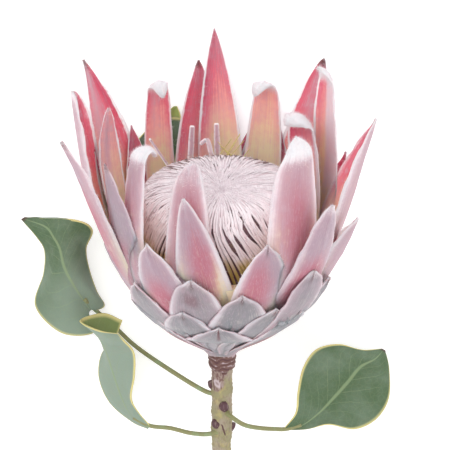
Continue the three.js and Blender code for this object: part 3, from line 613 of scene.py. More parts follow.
class Tree:
    """A node tree that is written node by node: values are numbers or other nodes' sockets."""

    def __init__(self, tree):
        self.tree = tree

    def add(self, kind, values=None, **settings):
        node = self.tree.nodes.new(kind)
        for name, setting in settings.items():
            setattr(node, name, setting)
        for name, value in (values or {}).items():
            socket = node.inputs[name]
            if isinstance(value, bpy.types.NodeSocket):
                self.tree.links.new(value, socket)
            else:
                socket.default_value = value
        return node

    def math(self, operation, a, b=0.0):
        return self.add("ShaderNodeMath", {0: a, 1: b}, operation=operation).outputs[0]

    def mix(self, factor, a, b):
        """A mix of two colours: on this node, inputs 6 and 7 and output 2 are the colours."""
        pick = [v if isinstance(v, bpy.types.NodeSocket) else (*v, 1.0) for v in (a, b)]
        values = {0: factor, 6: pick[0], 7: pick[1]}
        return self.add("ShaderNodeMix", values, data_type="RGBA").outputs[2]

    def smooth(self, value, low, high, start=0.0, end=1.0):
        values = {"Value": value, "From Min": low, "From Max": high, "To Min": start, "To Max": end}
        node = self.add("ShaderNodeMapRange", values, interpolation_type="SMOOTHSTEP")
        return node.outputs["Result"]

    def field(self, name):
        return self.add("ShaderNodeAttribute", attribute_name=name).outputs["Fac"]

    def noise(self, place, scale, detail=3.0, roughness=0.55):
        values = {"Vector": place, "Scale": scale, "Detail": detail, "Roughness": roughness}
        return self.add("ShaderNodeTexNoise", values).outputs["Fac"]

    def stretched(self, place, scale):
        return self.add("ShaderNodeMapping", {"Vector": place, "Scale": scale}).outputs["Vector"]


def new_material(name, **surface):
    """A material whose shader has these constants, with its tree ready to be written."""
    material = bpy.data.materials.new(name)
    material.use_nodes = True
    tree = Tree(material.node_tree)
    shader = material.node_tree.nodes["Principled BSDF"]
    for socket, value in surface.items():
        shader.inputs[socket].default_value = value
    return material, tree, shader


def finish_surface(tree, shader, base, height=None, distance=0.0002):
    """Links the base colour, and the height as a bump of that many metres."""
    tree.tree.links.new(base, shader.inputs["Base Color"])
    if height is not None:
        values = {"Height": height, "Distance": distance, "Strength": 1.0}
        bump = tree.add("ShaderNodeBump", values)
        tree.tree.links.new(bump.outputs["Normal"], shader.inputs["Normal"])


DOWNY = {
    "Roughness": 0.62,
    "Specular IOR Level": 0.25,
    "Sheen Weight": 0.15,
    "Sheen Roughness": 0.45,
    "Sheen Tint": (1.0, 0.96, 0.98, 1.0),
    "Subsurface Weight": 0.65,
    "Subsurface Radius": (1.0, 0.62, 0.58),
    "Subsurface Scale": 0.004,
}


def bract_material():
    """Silky bract: crimson to straw inside, silvery and blushed outside, with a pale margin."""
    tint = colours()
    material, tree, shader = new_material("bract_skin", **DOWNY)
    uv = tree.add("ShaderNodeUVMap", uv_map="UVMap").outputs[0]
    split = tree.add("ShaderNodeSeparateXYZ", {0: uv})
    coat = tree.add("ShaderNodeTexCoord").outputs["Object"]
    tone = tree.field("tone")
    offset = tree.add("ShaderNodeCombineXYZ", {0: tone, 1: tone, 2: tone}).outputs[0]
    shifted = tree.add("ShaderNodeVectorMath", {0: uv, 1: offset}, operation="ADD").outputs[0]
    streak = tree.noise(tree.stretched(shifted, (34.0, 1.8, 1.0)), 1.0, 5.0, 0.65)
    cloud = tree.noise(coat, 85.0, 3.0)
    from_middle = tree.math("ABSOLUTE", tree.math("SUBTRACT", split.outputs[0], 0.5))

    blotch = tree.noise(coat, 280.0, 3.0, 0.6)
    uneven = tree.math("ADD", tree.math("MULTIPLY", streak, 0.9), tree.math("MULTIPLY", cloud, 0.4))
    uneven = tree.math("ADD", uneven, tree.math("MULTIPLY", blotch, 0.45))
    uneven = tree.math("SUBTRACT", uneven, 0.875)

    def worn(field, base, stain):
        """The base with a stain where its field says so, unevenly."""
        share = tree.smooth(tree.math("ADD", tree.field(field), uneven), 0.0, 1.0)
        return tree.mix(share, base, stain)

    heat = tree.math("ADD", tree.field("warmth"), tree.math("MULTIPLY", uneven, 0.5))
    inside = tree.mix(tree.smooth(heat, 0.1, 0.4), tint.straw, tint.salmon)
    inside = tree.mix(tree.smooth(heat, 0.34, 0.64), inside, tint.rose)
    inside = tree.mix(tree.smooth(heat, 0.6, 0.95), inside, tint.crimson)
    inside = worn("ashen", inside, tint.dusk)
    inside = worn("lip", inside, tint.margin)
    inside = worn("bloom", inside, tint.mauve)
    line = tree.smooth(from_middle, 0.456, 0.476, 0.0, 0.45)
    inside = tree.mix(tree.smooth(from_middle, 0.462, 0.49, 0.0, 0.45), inside, tint.margin)

    outside = worn("mauve", tint.silver, tint.mauve)
    outside = worn("blush", outside, tint.blush)
    outside = worn("grey", outside, tint.ash)
    outside = worn("cream", outside, tint.cream)
    outside = worn("pale", outside, tint.margin)
    outside = worn("smudge", outside, tint.slit)

    base = tree.mix(tree.field("inside"), outside, inside)
    edge = tree.field("edge")
    base = tree.mix(tree.math("MULTIPLY", edge, line), base, tint.margin)
    rim = tree.math("MULTIPLY", edge, tree.smooth(from_middle, 0.482, 0.492))
    base = tree.mix(rim, base, tint.rim)
    ragged = tree.math("ADD", from_middle, tree.math("MULTIPLY", uneven, 0.1))
    hem = tree.math("MULTIPLY", tree.field("hem"), tree.smooth(ragged, 0.43, 0.462))
    base = tree.mix(hem, base, tint.wool)
    base = worn("white", base, tint.wool)
    grain = tree.noise(tree.stretched(shifted, (60.0, 30.0, 1.0)), 1.0, 4.0, 0.7)
    base = tree.mix(tree.smooth(grain, 0.52, 0.75, 0.0, 0.35), base, tint.margin)
    base = tree.mix(tree.field("dark"), base, tint.brown)
    fine = tree.noise(tree.stretched(shifted, (110.0, 9.0, 1.0)), 1.0, 3.0)
    height = tree.math("ADD", fine, tree.math("MULTIPLY", streak, 1.5))
    finish_surface(tree, shader, base, height, 0.0002)
    return material


def hair_material():
    """White silky hair."""
    tint = colours()
    material, tree, shader = new_material(
        "white_down", Roughness=0.5, **{"Sheen Weight": 0.3, "Specular IOR Level": 0.3}
    )
    coat = tree.add("ShaderNodeTexCoord").outputs["Object"]
    base = tree.mix(tree.noise(coat, 900.0, 2.0), tint.wool, tint.margin)
    finish_surface(tree, shader, base)
    return material


def floret_material():
    """Pale floret: white-pink and downy, olive at its foot, with painted shade on its sides, strongest
    in its lower half, and at its lower end.
    """
    tint = colours()
    material, tree, shader = new_material("floret_skin", **{**DOWNY, "Subsurface Weight": 0.0})
    coat = tree.add("ShaderNodeTexCoord").outputs["Object"]
    along = tree.field("along")
    tone = tree.field("tone")
    speck = tree.noise(coat, 520.0, 3.0)
    base = tree.mix(tree.smooth(tone, 0.5, 1.0, 0.0, 0.45), tint.floret, tint.silver)
    base = tree.mix(tree.smooth(tone, 0.3, 0.0, 0.0, 0.3), base, tint.blush)
    # painted shade at the floret's lower end, where it goes in among the packed florets
    base = tree.mix(tree.smooth(along, 0.2, 0.0, 0.0, 0.2), base, tint.slit)
    base = tree.mix(tree.smooth(along, 0.6, 0.95), base, tint.wool)
    # painted shade between florets: the strip's sides darker, most in its lower part
    flank = tree.math("MULTIPLY", tree.field("flank"), tree.smooth(along, 1.0, 0.7, 0.25, 0.65))
    base = tree.mix(flank, base, tint.slit)
    base = tree.mix(tree.field("cotton"), base, tint.wool)
    base = tree.mix(tree.field("foot"), base, tint.olive)
    base = tree.mix(tree.field("rust"), base, tint.collar)
    base = tree.mix(tree.smooth(speck, 0.62, 0.75, 0.0, 0.35), base, tint.slit)
    finish_surface(tree, shader, base, speck, 0.0002)
    return material


def core_material():
    """Dark mauve core, seen only in the slits between florets: its darkness is painted shade of the deep
    gaps.
    """
    tint = colours()
    material, tree, shader = new_material("floret_core", Roughness=0.9)
    coat = tree.add("ShaderNodeTexCoord").outputs["Object"]
    base = tree.mix(tree.smooth(tree.noise(coat, 300.0), 0.5, 0.8, 0.0, 0.4), tint.slit, tint.olive)
    finish_surface(tree, shader, base)
    return material


def style_material():
    """Loose styles: grey-pink straps with a pale edge, pink ones and yellow threads."""
    tint = colours()
    material, tree, shader = new_material("style_skin", **DOWNY)
    coat = tree.add("ShaderNodeTexCoord").outputs["Object"]
    tone = tree.field("tone")
    along = tree.field("along")
    pale = tree.mix(tree.smooth(tone, 0.05, 0.25), tint.margin, tint.silver)
    pale = tree.mix(tree.smooth(along, 0.35, 0.0, 0.0, 0.6), pale, tint.olive)
    pale = tree.mix(tree.smooth(tree.field("brim"), 0.7, 0.1, 0.0, 0.35), pale, tint.slit)
    pale = tree.mix(tree.math("MULTIPLY", tree.field("brim"), 0.8), pale, tint.wool)
    pale = tree.mix(tree.smooth(along, 0.94, 0.97), pale, tint.wool)
    base = tree.mix(tree.smooth(tone, 0.5, 1.0), pale, tint.olive)
    base = tree.mix(tree.smooth(tree.noise(coat, 500.0), 0.5, 0.75, 0.0, 0.4), base, tint.slit)
    finish_surface(tree, shader, base)
    return material


def leaf_material():
    """Leathery leaf: dull green with pale veins and a yellow horny margin."""
    tint = colours()
    material, tree, shader = new_material(
        "leaf_skin",
        Roughness=0.62,
        **{"Specular IOR Level": 0.22, "Subsurface Weight": 0.08, "Subsurface Scale": 0.001},
    )
    uv = tree.add("ShaderNodeUVMap", uv_map="UVMap").outputs[0]
    split = tree.add("ShaderNodeSeparateXYZ", {0: uv})
    across, along = split.outputs[0], split.outputs[1]
    coat = tree.add("ShaderNodeTexCoord").outputs["Object"]
    cloud = tree.noise(coat, 45.0, 4.0)
    fine = tree.noise(coat, 260.0, 3.0)
    from_middle = tree.math("ABSOLUTE", tree.math("SUBTRACT", across, 0.5))
    from_middle = tree.math("MULTIPLY", from_middle, 2.0)

    # Side veins leave the midrib and bend towards the tip
    climb = tree.math("MULTIPLY", tree.math("POWER", from_middle, 0.8), 3.2)
    count = tree.math("SUBTRACT", tree.math("MULTIPLY", along, 9.0), climb)
    count = tree.math("ADD", count, tree.math("MULTIPLY", cloud, 0.9))
    beside = tree.math("ABSOLUTE", tree.math("SUBTRACT", tree.math("FRACT", count), 0.5))
    fading = tree.smooth(from_middle, 1.0, 0.2)
    side_vein = tree.math("MULTIPLY", tree.smooth(beside, 0.05, 0.0), fading)
    cells = tree.add(
        "ShaderNodeTexVoronoi", {"Vector": coat, "Scale": 330.0}, feature="DISTANCE_TO_EDGE"
    ).outputs["Distance"]
    net = tree.smooth(cells, 0.09, 0.02, 0.0, 0.35)
    midrib = tree.smooth(from_middle, 0.055, 0.015, 0.0, 0.65)
    vein = tree.math("MAXIMUM", midrib, tree.math("MULTIPLY", side_vein, 0.32))

    # the lower face's colour, and painted light on the upper face towards its base
    body = tree.mix(tree.field("underside"), tint.leaf, tint.leaf_back_and_painted_light)
    body = tree.mix(tree.smooth(cloud, 0.35, 0.7, 0.0, 0.4), body, tint.leaf_back_and_painted_light)
    body = tree.mix(tree.math("MULTIPLY", net, 0.25), body, tint.vein)
    body = tree.mix(vein, body, tint.vein)
    stalk = tree.mix(tree.smooth(fine, 0.45, 0.8), tint.stalk, tint.vein)
    body = tree.mix(tree.field("stalk"), body, stalk)
    # the young tip's yellow-green, which is also painted light on a turned leaf's shaded face
    body = tree.mix(tree.field("fresh"), body, tint.young_green_and_painted_light)
    body = tree.mix(tree.field("rim"), body, tint.leaf_margin)
    body = tree.mix(tree.field("dark"), body, tint.brown)
    raised = tree.math("ADD", tree.math("MULTIPLY", vein, 0.8), tree.math("MULTIPLY", fine, 0.3))
    raised = tree.math("SUBTRACT", raised, tree.math("MULTIPLY", net, 0.5))
    finish_surface(tree, shader, body, raised, 0.0002)
    return material


def stem_material():
    """Bark: olive tan with grey-pink patches, a scaly brown collar and dark buds."""
    tint = colours()
    material, tree, shader = new_material("stem_bark", Roughness=0.72)
    coat = tree.add("ShaderNodeTexCoord").outputs["Object"]
    patch = tree.noise(coat, 110.0, 4.0, 0.6)
    grain = tree.noise(tree.stretched(coat, (1.0, 0.25, 1.0)), 900.0, 4.0)
    pits = tree.add(
        "ShaderNodeTexVoronoi", {"Vector": coat, "Scale": 420.0}, feature="F1"
    ).outputs["Distance"]
    base = tree.mix(tree.smooth(patch, 0.42, 0.62, 0.0, 0.6), tint.bark, tint.bark_patch)
    base = tree.mix(tree.smooth(tree.noise(coat, 240.0), 0.5, 0.7, 0.0, 0.4), base, tint.olive)
    worn = tree.mix(tree.smooth(grain, 0.35, 0.65), tint.collar, tint.bark_patch)
    peeled = tree.smooth(tree.math("ADD", tree.field("patch"), patch), 0.75, 1.15)
    base = tree.mix(peeled, base, worn)
    base = tree.mix(tree.smooth(pits, 0.16, 0.08, 0.0, 0.45), base, tint.collar)
    base = tree.mix(tree.smooth(grain, 0.5, 0.72, 0.0, 0.5), base, tint.collar)
    ragged = tree.math("MULTIPLY", tree.math("SUBTRACT", grain, 0.5), 0.9)
    ragged = tree.math("ADD", tree.field("scar"), ragged)
    base = tree.mix(tree.smooth(ragged, 0.1, 0.45, 0.0, 0.6), base, tint.margin)
    base = tree.mix(tree.smooth(ragged, 0.6, 1.1, 0.0, 0.7), base, tint.collar)
    base = tree.mix(tree.smooth(tree.field("split"), 0.3, 0.7), base, tint.brown)
    fold = tree.math("ADD", tree.field("fold"), tree.math("MULTIPLY", grain, 0.5))
    scaly = tree.mix(tree.smooth(fold, 0.35, 0.95), tint.brown, tint.collar)
    scaly = tree.mix(tree.smooth(fold, 1.12, 1.35, 0.0, 0.7), scaly, tint.margin)
    base = tree.mix(tree.field("collar"), base, scaly)
    knob = tree.mix(tree.smooth(fold, 0.3, 1.3), tint.bud, tint.brown)
    knob = tree.mix(tree.smooth(grain, 0.55, 0.7, 0.0, 0.5), knob, tint.bark_patch)
    base = tree.mix(tree.field("bud"), base, knob)
    base = tree.mix(tree.field("cut"), base, tint.cream)
    finish_surface(tree, shader, base, grain, 0.0004)
    return material


# Bracts


def cup_radius(height):
    """Radius of the cup's outside at a height."""
    heights, radii = zip(*CUP)
    return float(np.interp(height, heights, radii))


def towards(slope, reach):
    """A step of that reach in the plane of radius and height, slope in radians."""
    return reach * np.array([math.cos(slope), math.sin(slope)])


def midline(tip_radius, tip_height, root_height, root_depth, tip_slope, form):
    """Radius, height and slope at even steps from a bract's root to its tip."""
    root = np.array([cup_radius(root_height) - root_depth, root_height])
    tip = np.array([tip_radius, tip_height], float)
    reach = np.linalg.norm(tip - root)
    root_slope = math.atan2(4, cup_radius(root_height + 2) - cup_radius(root_height - 2))
    holds = [
        root,
        root + towards(root_slope, reach * GRIP[0]),
        tip - towards(math.radians(tip_slope), reach * GRIP[1]),
        tip,
    ]
    t = np.linspace(0, 1, MIDLINE_STEPS + 1)[:, None]
    weights = [(1 - t) ** 3, 3 * t * (1 - t) ** 2, 3 * t * t * (1 - t), t**3]
    drawn = sum(weight * hold for weight, hold in zip(weights, holds))
    steps = np.diff(drawn, axis=0)
    middle = (np.arange(MIDLINE_STEPS) + 0.5) / MIDLINE_STEPS
    curl = np.maximum(0, (middle - form["hook_from"]) / (1 - form["hook_from"]))
    slopes = np.arctan2(steps[:, 1], steps[:, 0]) + math.radians(form["hook"]) * curl
    reaches = np.linalg.norm(steps, axis=1)
    turned = reaches[:, None] * np.stack([np.cos(slopes), np.sin(slopes)], axis=1)
    line = np.concatenate([[root], root + np.cumsum(turned, axis=0)])
    return line, np.concatenate([[root_slope], slopes])


def half_width(along, width, form):
    """Half the width of a bract, along it from 0 at its root to 1 at its tip."""
    grown = form["base"] + (1 - form["base"]) * np.sin(math.pi / 2 * along / form["widest"])
    left = np.clip((along - form["widest"]) / (1 - form["widest"]), 0, 1)
    closing = (1 - left ** form["point"]) ** form["blunt"]
    share = np.where(along < form["widest"], grown, closing)
    return np.maximum(BRACT_TIP_WIDTH / 2, width / 2 * share)


def add_bract(clay, row, seed, stations, columns):
    """A boat-shaped blade with rounded margins, hollow towards the florets."""
    azimuth, tip_radius, tip_height, root_height, root_depth, width, tip_slope, *looks = row
    form_name, own, dress = looks
    form = {**STRAIGHT, **FORMS[form_name], **own}
    dress = {**PLAIN_DRESS, **dress}
    line, slopes = midline(tip_radius, tip_height, root_height, root_depth, tip_slope, form)
    steps = np.linspace(0, 1, MIDLINE_STEPS + 1)
    v = 1 - (1 - np.linspace(0, 1, stations)) ** 1.25
    radius, height, slope = (np.interp(v, steps, values) for values in (*line.T, slopes))
    out, side = outward(azimuth), sideways(azimuth)
    swayed = np.maximum(0, (v - SWAY_FROM) / (1 - SWAY_FROM)) ** 1.5
    drift = form["lean"] * v**2 + form["sway"] * swayed
    centre = radius[:, None] * out + height[:, None] * UP + drift[:, None] * side
    flat = -np.sin(slope)[:, None] * out + np.cos(slope)[:, None] * UP
    turn = np.radians(form["twist"]) * v
    across = np.cos(turn)[:, None] * side + np.sin(turn)[:, None] * flat
    inward = np.cos(turn)[:, None] * flat - np.sin(turn)[:, None] * side
    half = half_width(v, width, form)
    bow = half * math.tan(math.radians(form["roll"] / 2)) * (0.5 + 0.5 * v)
    if form_name in ("scale", "ovate"):
        half = half * (1 - 0.45 * smoothstep(v, 0.92, 0.99))
    thickness = BRACT_ROOT_THICKNESS + (BRACT_TIP_THICKNESS - BRACT_ROOT_THICKNESS) * v

    u = np.linspace(-1, 1, columns)
    loop_u = np.concatenate([u, [1.0], u[::-1], [-1.0]])
    is_inside = np.concatenate([np.zeros(columns), [0.5], np.ones(columns), [0.5]])
    rim = np.concatenate([np.zeros(columns), [1.0], np.zeros(columns), [-1.0]])
    free = smoothstep(v, 0.35, 0.9)
    ripple = 0.3 * free[:, None] * wave(7 * v[:, None] + 2.5 * loop_u, seed)
    frill = 0.5 * free[:, None] * np.abs(loop_u) ** 6 * wave(16 * v[:, None] + 3 * loop_u, seed + 1)
    skin = thickness[:, None] * (1 - BRACT_RIM_LOSS * loop_u**2)
    keel = 0.45 * smoothstep(v, 0.45, 0.9)[:, None] * np.exp(-((loop_u / 0.12) ** 2))
    depth = bow[:, None] * loop_u**2 + ripple + frill - keel + skin * is_inside
    sidestep = half[:, None] * loop_u + rim * 0.12 * thickness[:, None]
    rings = centre[:, None] + sidestep[..., None] * across[:, None] + depth[..., None] * inward[:, None]
    clay.add_tube(
        rings,
        np.stack(np.broadcast_arrays((loop_u + 1) / 2, v[:, None]), axis=-1),
        inside=is_inside * (dress["grey"] < DULL_SCALE),
        tone=(seed * 0.377) % 1.0,
        **bract_fields(dress, form, v[:, None], loop_u, is_inside),
    )


def bract_fields(dress, form, v, u, is_inside):
    """Where each colour lies on a bract, from its colouring: v is along it, u across it."""
    spot_u, spot_v = dress["spot"]
    low = smoothstep(v, spot_v - 0.42, spot_v - 0.05)
    high = 1 - smoothstep(v, spot_v + 0.05, spot_v + 0.42)
    sides = np.abs(u) ** 2
    ends = form["hook_from"] - 0.03 if form["hook"] else 0.94
    crest = dress["crest"] * smoothstep(v, ends, ends + 0.08) * (1.0 if form["hook"] else 0.6)
    heat = (v - 0.75 * dress["tan"]) / (1 - 0.62 * dress["tan"])
    heat = heat + 0.3 * sides + 0.24 * dress["lit"] * u
    heat = np.minimum(heat, 1.1) * (0.35 + 0.65 * dress["glow"])
    lip_side, lip_width = np.sign(dress["lip"]), abs(dress["lip"])
    lip = smoothstep(lip_side * u, 0.85 - lip_width, 1.15 - lip_width)
    fringe = smoothstep(np.abs(u), 0.85, 1.0) * smoothstep(v, 0.4, 0.7)
    hem = dress["hem"] * smoothstep(v, 0.35, 0.65) * (0.3 + 0.7 * is_inside)
    hem = hem * np.where(u > 0, dress["hem_far"], 1.0)
    tuft = smoothstep(v, 0.74, 0.84) * (1 - smoothstep(v, 0.86, 0.97))
    tuft = tuft * np.exp(-(((u + 0.15) / 0.42) ** 2))
    crack = smoothstep(v, 0.72, 0.85) * np.exp(-((u / 0.06) ** 2))
    root = (1 - smoothstep(v, 0.36, 0.8)) * (0.1 + 1.2 * np.abs(u) ** 2.5)
    pale = 0.8 * dress["paling"] * smoothstep(np.abs(u), 0.6, 1.0) * smoothstep(v, 0.3, 0.6)
    mark = dress["apex"] * smoothstep(v, 0.91, 0.97) * np.exp(-((u / 0.2) ** 2))
    bare = np.where(form["hook"] > 0, 0.0, is_inside)
    return dict(
        blush=dress["blush"] * low * high * np.exp(-(((u - spot_u) / 0.7) ** 2)),
        mauve=dress["mauve"] * smoothstep(v, spot_v - 0.2, 0.9) * (1 - 0.45 * sides),
        cream=dress["cream"] * root * (1 - dress["grey"]),
        pale=pale + 0.5 * smoothstep(v, 0.9, 1.0),
        lip=lip * abs(lip_side) * smoothstep(v, 0.3, 0.5),
        grey=dress["grey"] * (0.7 + 0.3 * smoothstep(v, 0.0, 0.5)) * (1 - 0.45 * sides),
        smudge=dress["smudge"] * tuft + dress["slit"] * crack,
        warmth=heat,
        bloom=dress["bloom"] * smoothstep(v, 0.6, 0.95),
        hem=hem,
        ashen=dress["ashen"] * smoothstep(v, 0.45, 0.8) * np.exp(-(((u - 0.2) / 0.5) ** 2)),
        edge=min(1.0, 0.15 + 1.3 * dress["grey"]) * smoothstep(v, 0.3, 0.6),
        white=crest * (1 - 0.3 * bare),
        wool=crest * (1 - 0.6 * bare) + dress["hem"] * 0.5 * fringe,
        dark=dress["dark"] * smoothstep(v, 0.95, 0.985) + 0.7 * dress["slit"] * crack + mark,
    )


def back_bracts():
    """The outer rows at the back, each bract a little off its place."""
    draw = seeded_random(BACK_JITTER["seed"])
    rows = []
    for first, step, count, radius, height, *rest in BACK_ROWS:
        for i in range(count):
            azimuth = first + step * i + BACK_JITTER["azimuth"] * (next(draw) - 0.5)
            rows.append((azimuth, radius, height + BACK_JITTER["height"] * (next(draw) - 0.5), *rest))
    return rows


def add_seat(clay):
    """The bowl with a flat floor that bracts and florets grow from."""
    outside = NECK + [(h, r - SEAT_DEPTH) for h, r in CUP if NECK[-1][0] < h <= SEAT_RIM]
    rim = cup_radius(SEAT_RIM) - SEAT_DEPTH - SEAT_WALL
    floor = cup_radius(SEAT_FLOOR) - SEAT_DEPTH - SEAT_WALL
    profile = [(0, 0.05), *outside, (SEAT_RIM, rim), (SEAT_FLOOR, floor), (SEAT_FLOOR, 0.05)]
    turns = [outward(k * 360 / SEAT_SIDES) for k in range(SEAT_SIDES)]
    fields = dict.fromkeys(clay.fields, 0.0)
    fields.update(tone=0.3, blush=0.1, mauve=0.1, cream=0.9, grey=0.2, warmth=0.2)
    clay.add_tube([[r * turn + h * UP for turn in turns] for h, r in profile], **fields)


# Hairs


def hair_tree():
    """Geometry Nodes: short tapering hairs on a surface, as dense as its field "wool" says."""
    group = bpy.data.node_groups.new("downy_hairs", "GeometryNodeTree")
    for name, kind in (
        ("Geometry", "NodeSocketGeometry"),
        ("Density", "NodeSocketFloat"),
        ("Length", "NodeSocketFloat"),
        ("Width", "NodeSocketFloat"),
        ("Lean", "NodeSocketFloat"),
        ("Seed", "NodeSocketInt"),
        ("Material", "NodeSocketMaterial"),
    ):
        group.interface.new_socket(name=name, in_out="INPUT", socket_type=kind)
    group.interface.new_socket(name="Geometry", in_out="OUTPUT", socket_type="NodeSocketGeometry")
    tree = Tree(group)
    given = tree.add("NodeGroupInput").outputs
    wool = tree.add("GeometryNodeInputNamedAttribute", {"Name": "wool"}, data_type="FLOAT")
    density = tree.math("MULTIPLY", wool.outputs[0], given["Density"])
    spread = tree.add(
        "GeometryNodeDistributePointsOnFaces",
        {"Mesh": given["Geometry"], "Density": density, "Seed": given["Seed"]},
        distribute_method="RANDOM",
    )
    cone = tree.add(
        "GeometryNodeMeshCone",
        {"Vertices": 3, "Side Segments": 1, "Radius Top": 0.0, "Radius Bottom": 0.5, "Depth": 1.0},
        fill_type="NGON",
    )
    lean = tree.add(
        "FunctionNodeRandomValue",
        {0: (-1.0, -1.0, 0.0), 1: (1.0, 1.0, 1.0), "Seed": given["Seed"]},
        data_type="FLOAT_VECTOR",
    ).outputs[0]
    lean = tree.add("ShaderNodeVectorMath", {0: lean, "Scale": given["Lean"]}, operation="SCALE")
    turn = tree.add("FunctionNodeEulerToRotation", {0: lean.outputs[0]}).outputs[0]
    rotation = tree.add(
        "FunctionNodeRotateRotation",
        {0: spread.outputs["Rotation"], 1: turn},
        rotation_space="LOCAL",
    ).outputs[0]
    size = tree.add(
        "FunctionNodeRandomValue", {2: 0.55, 3: 1.15, "Seed": given["Seed"]}, data_type="FLOAT"
    ).outputs[1]
    tall = tree.math("MULTIPLY", given["Length"], size)
    scale = tree.add("ShaderNodeCombineXYZ", {0: given["Width"], 1: given["Width"], 2: tall})
    hairs = tree.add(
        "GeometryNodeInstanceOnPoints",
        {
            "Points": spread.outputs["Points"],
            "Instance": cone.outputs["Mesh"],
            "Rotation": rotation,
            "Scale": scale.outputs[0],
        },
    )
    real = tree.add("GeometryNodeRealizeInstances", {"Geometry": hairs.outputs[0]})
    dressed = tree.add(
        "GeometryNodeSetMaterial", {"Geometry": real.outputs[0], "Material": given["Material"]}
    )
    tree.add("NodeGroupOutput", {"Geometry": dressed.outputs[0]})
    return group


def grown(name, base, group, inputs):
    """The mesh that a Geometry Nodes tree grows on a base piece, as a plain object of its own."""
    carrier = bpy.data.objects.new(name + "_carrier", base.data.copy())
    bpy.context.scene.collection.objects.link(carrier)
    modifier = carrier.modifiers.new(name, "NODES")
    modifier.node_group = group
    for socket in group.interface.items_tree:
        if socket.in_out == "INPUT" and socket.name in inputs:
            modifier[socket.identifier] = inputs[socket.name]
    graph = bpy.context.evaluated_depsgraph_get()
    mesh = bpy.data.meshes.new_from_object(carrier.evaluated_get(graph))
    mesh.name = name
    piece = bpy.data.objects.new(name, mesh)
    bpy.context.scene.collection.objects.link(piece)
    bpy.data.objects.remove(carrier)
    return piece


def hairs_on(name, base, density, hair_length, material):
    """Hairs on a piece: density is hairs to the square millimetre."""
    group = bpy.data.node_groups.get("downy_hairs") or hair_tree()
    inputs = {
        "Density": density / MM**2,
        "Length": hair_length,
        "Width": sizes().hair_width,
        "Lean": HAIR_LEAN,
        "Seed": sizes().seed,
        "Material": material,
    }
    return grown(name, base, group, inputs)


class PROTEA_OT_bracts(bpy.types.Operator):
    """Bracts on their seat, in three pieces, with woolly crests"""

    bl_idname = "protea.bracts"
    bl_label = "Bracts"

    def execute(self, context):
        skin = bract_material()
        hair = hair_material()
        groups = {
            "bracts_round_the_back": (BRACTS[:FIRST_FRONT_BRACT], FINE_GRID),
            "bracts_at_the_front": (BRACTS[FIRST_FRONT_BRACT:], FINE_GRID),
            "bracts_outer_rows": (back_bracts(), COARSE_GRID),
        }
        seed = BRACT_SEED
        for name, (rows, grid) in groups.items():
            clay = Clay()
            for row in rows:
                add_bract(clay, row, seed, *grid)
                seed += 1
            if name == "bracts_outer_rows":
                add_seat(clay)
            piece = clay.piece(name, skin)
            settle(piece, "bracts", "bracts")
            if name != "bracts_outer_rows":
                wool = hairs_on(name + "_wool", piece, WOOL_DENSITY, sizes().wool_length, hair)
                settle(wool, "bracts")
        return {"FINISHED"}


# Florets


def smooth_line(knots, shares):
    """Points of a Catmull-Rom curve through the knots, at shares of the number of its spans."""
    knots = np.asarray(knots, float)
    spans = len(knots) - 1
    place = np.clip(np.asarray(shares, float), 0, 1) * spans
    index = np.minimum(place.astype(int), spans - 1)
    t = (place - index)[..., None]
    before = 2 * knots[0] - knots[1]
    after = 2 * knots[-1] - knots[-2]
    padded = np.concatenate([[before], knots, [after]])
    p0, p1, p2, p3 = (padded[index + k] for k in range(4))
    v0, v1 = (p2 - p0) / 2, (p3 - p1) / 2
    return (
        (2 * p1 - 2 * p2 + v0 + v1) * t**3
        + (-3 * p1 + 3 * p2 - 2 * v0 - v1) * t**2
        + v0 * t
        + p1
    )


class Core:
    """The surface that the florets lie on: a wall that they climb and a crown that they bend over."""

    def __init__(self):
        knots = [(r, SEAT_FLOOR + CLEARANCE + h) for h, r in CORE]
        outline = smooth_line(knots, np.linspace(0, 1, 400))
        steps = np.gradient(outline, axis=0)
        steps /= np.linalg.norm(steps, axis=1, keepdims=True)
        self.radius, self.height = outline.T
        self.out, self.up = steps[:, 1], -steps[:, 0]
        self.rim = int(np.searchsorted(self.height, SEAT_FLOOR + RIM_HEIGHT))

    def on_wall(self, climb):
        """Radius, height and the normal's two parts on the wall, climb from 0 to 1."""
        wall = self.height[: self.rim + 1]
        level = wall[0] + np.clip(climb, 0, 1) * (wall[-1] - wall[0])
        return self.read(np.interp(level, wall, range(len(wall))))

    def on_crown(self, radius):
        """The same on the crown, at a distance from the axis."""
        falling = self.radius[self.rim:][::-1]
        at = len(self.radius) - 1 - np.interp(radius, falling, range(len(falling)))
        return self.read(at)

    def read(self, at):
        index = np.arange(len(self.radius))
        return [np.interp(at, index, values) for values in (self.radius, self.height, self.out, self.up)]

    def spot(self, azimuth, height):
        """The point of the core at an azimuth and a height above the floor, and its normal."""
        at = np.interp(height + SEAT_FLOOR + CLEARANCE, self.height, range(len(self.height)))
        radius, level, out_part, up_part = self.read(at)
        out = outward(azimuth)
        return out * radius + UP * level, out * out_part + UP * up_part

    def path(self, azimuth, places):
        """Points and normals of a floret's way over the core, places from 0 (foot) to 2 (pole)."""
        climb = np.minimum(places, 1.0)
        lean = np.interp((azimuth + 180) % 360 - 180, *zip(*FLORET_LEAN))
        radius, height, out_part, up_part = self.on_wall(climb)
        turned = np.radians(azimuth + lean * (height - self.height[self.rim]))
        flat = np.stack([np.sin(turned), -np.cos(turned)], axis=-1)
        start = flat[-1] * radius[-1]
        over = np.maximum(places - 1.0, 0.0)[:, None]
        spot = start + over * (np.array(POLE) - start)
        distance = np.linalg.norm(spot, axis=1)
        crown = self.on_crown(distance)
        is_over = places > 1.0
        flat = np.where(is_over[:, None], spot / np.maximum(distance, 1e-6)[:, None], flat)
        wall = (radius, height, out_part, up_part)
        radius, height, out_part, up_part = (np.where(is_over, a, b) for a, b in zip(crown, wall))
        points = np.concatenate([flat * radius[:, None], height[:, None]], axis=1)
        normals = np.concatenate([flat * out_part[:, None], up_part[:, None]], axis=1)
        return points, normals / np.linalg.norm(normals, axis=1, keepdims=True)


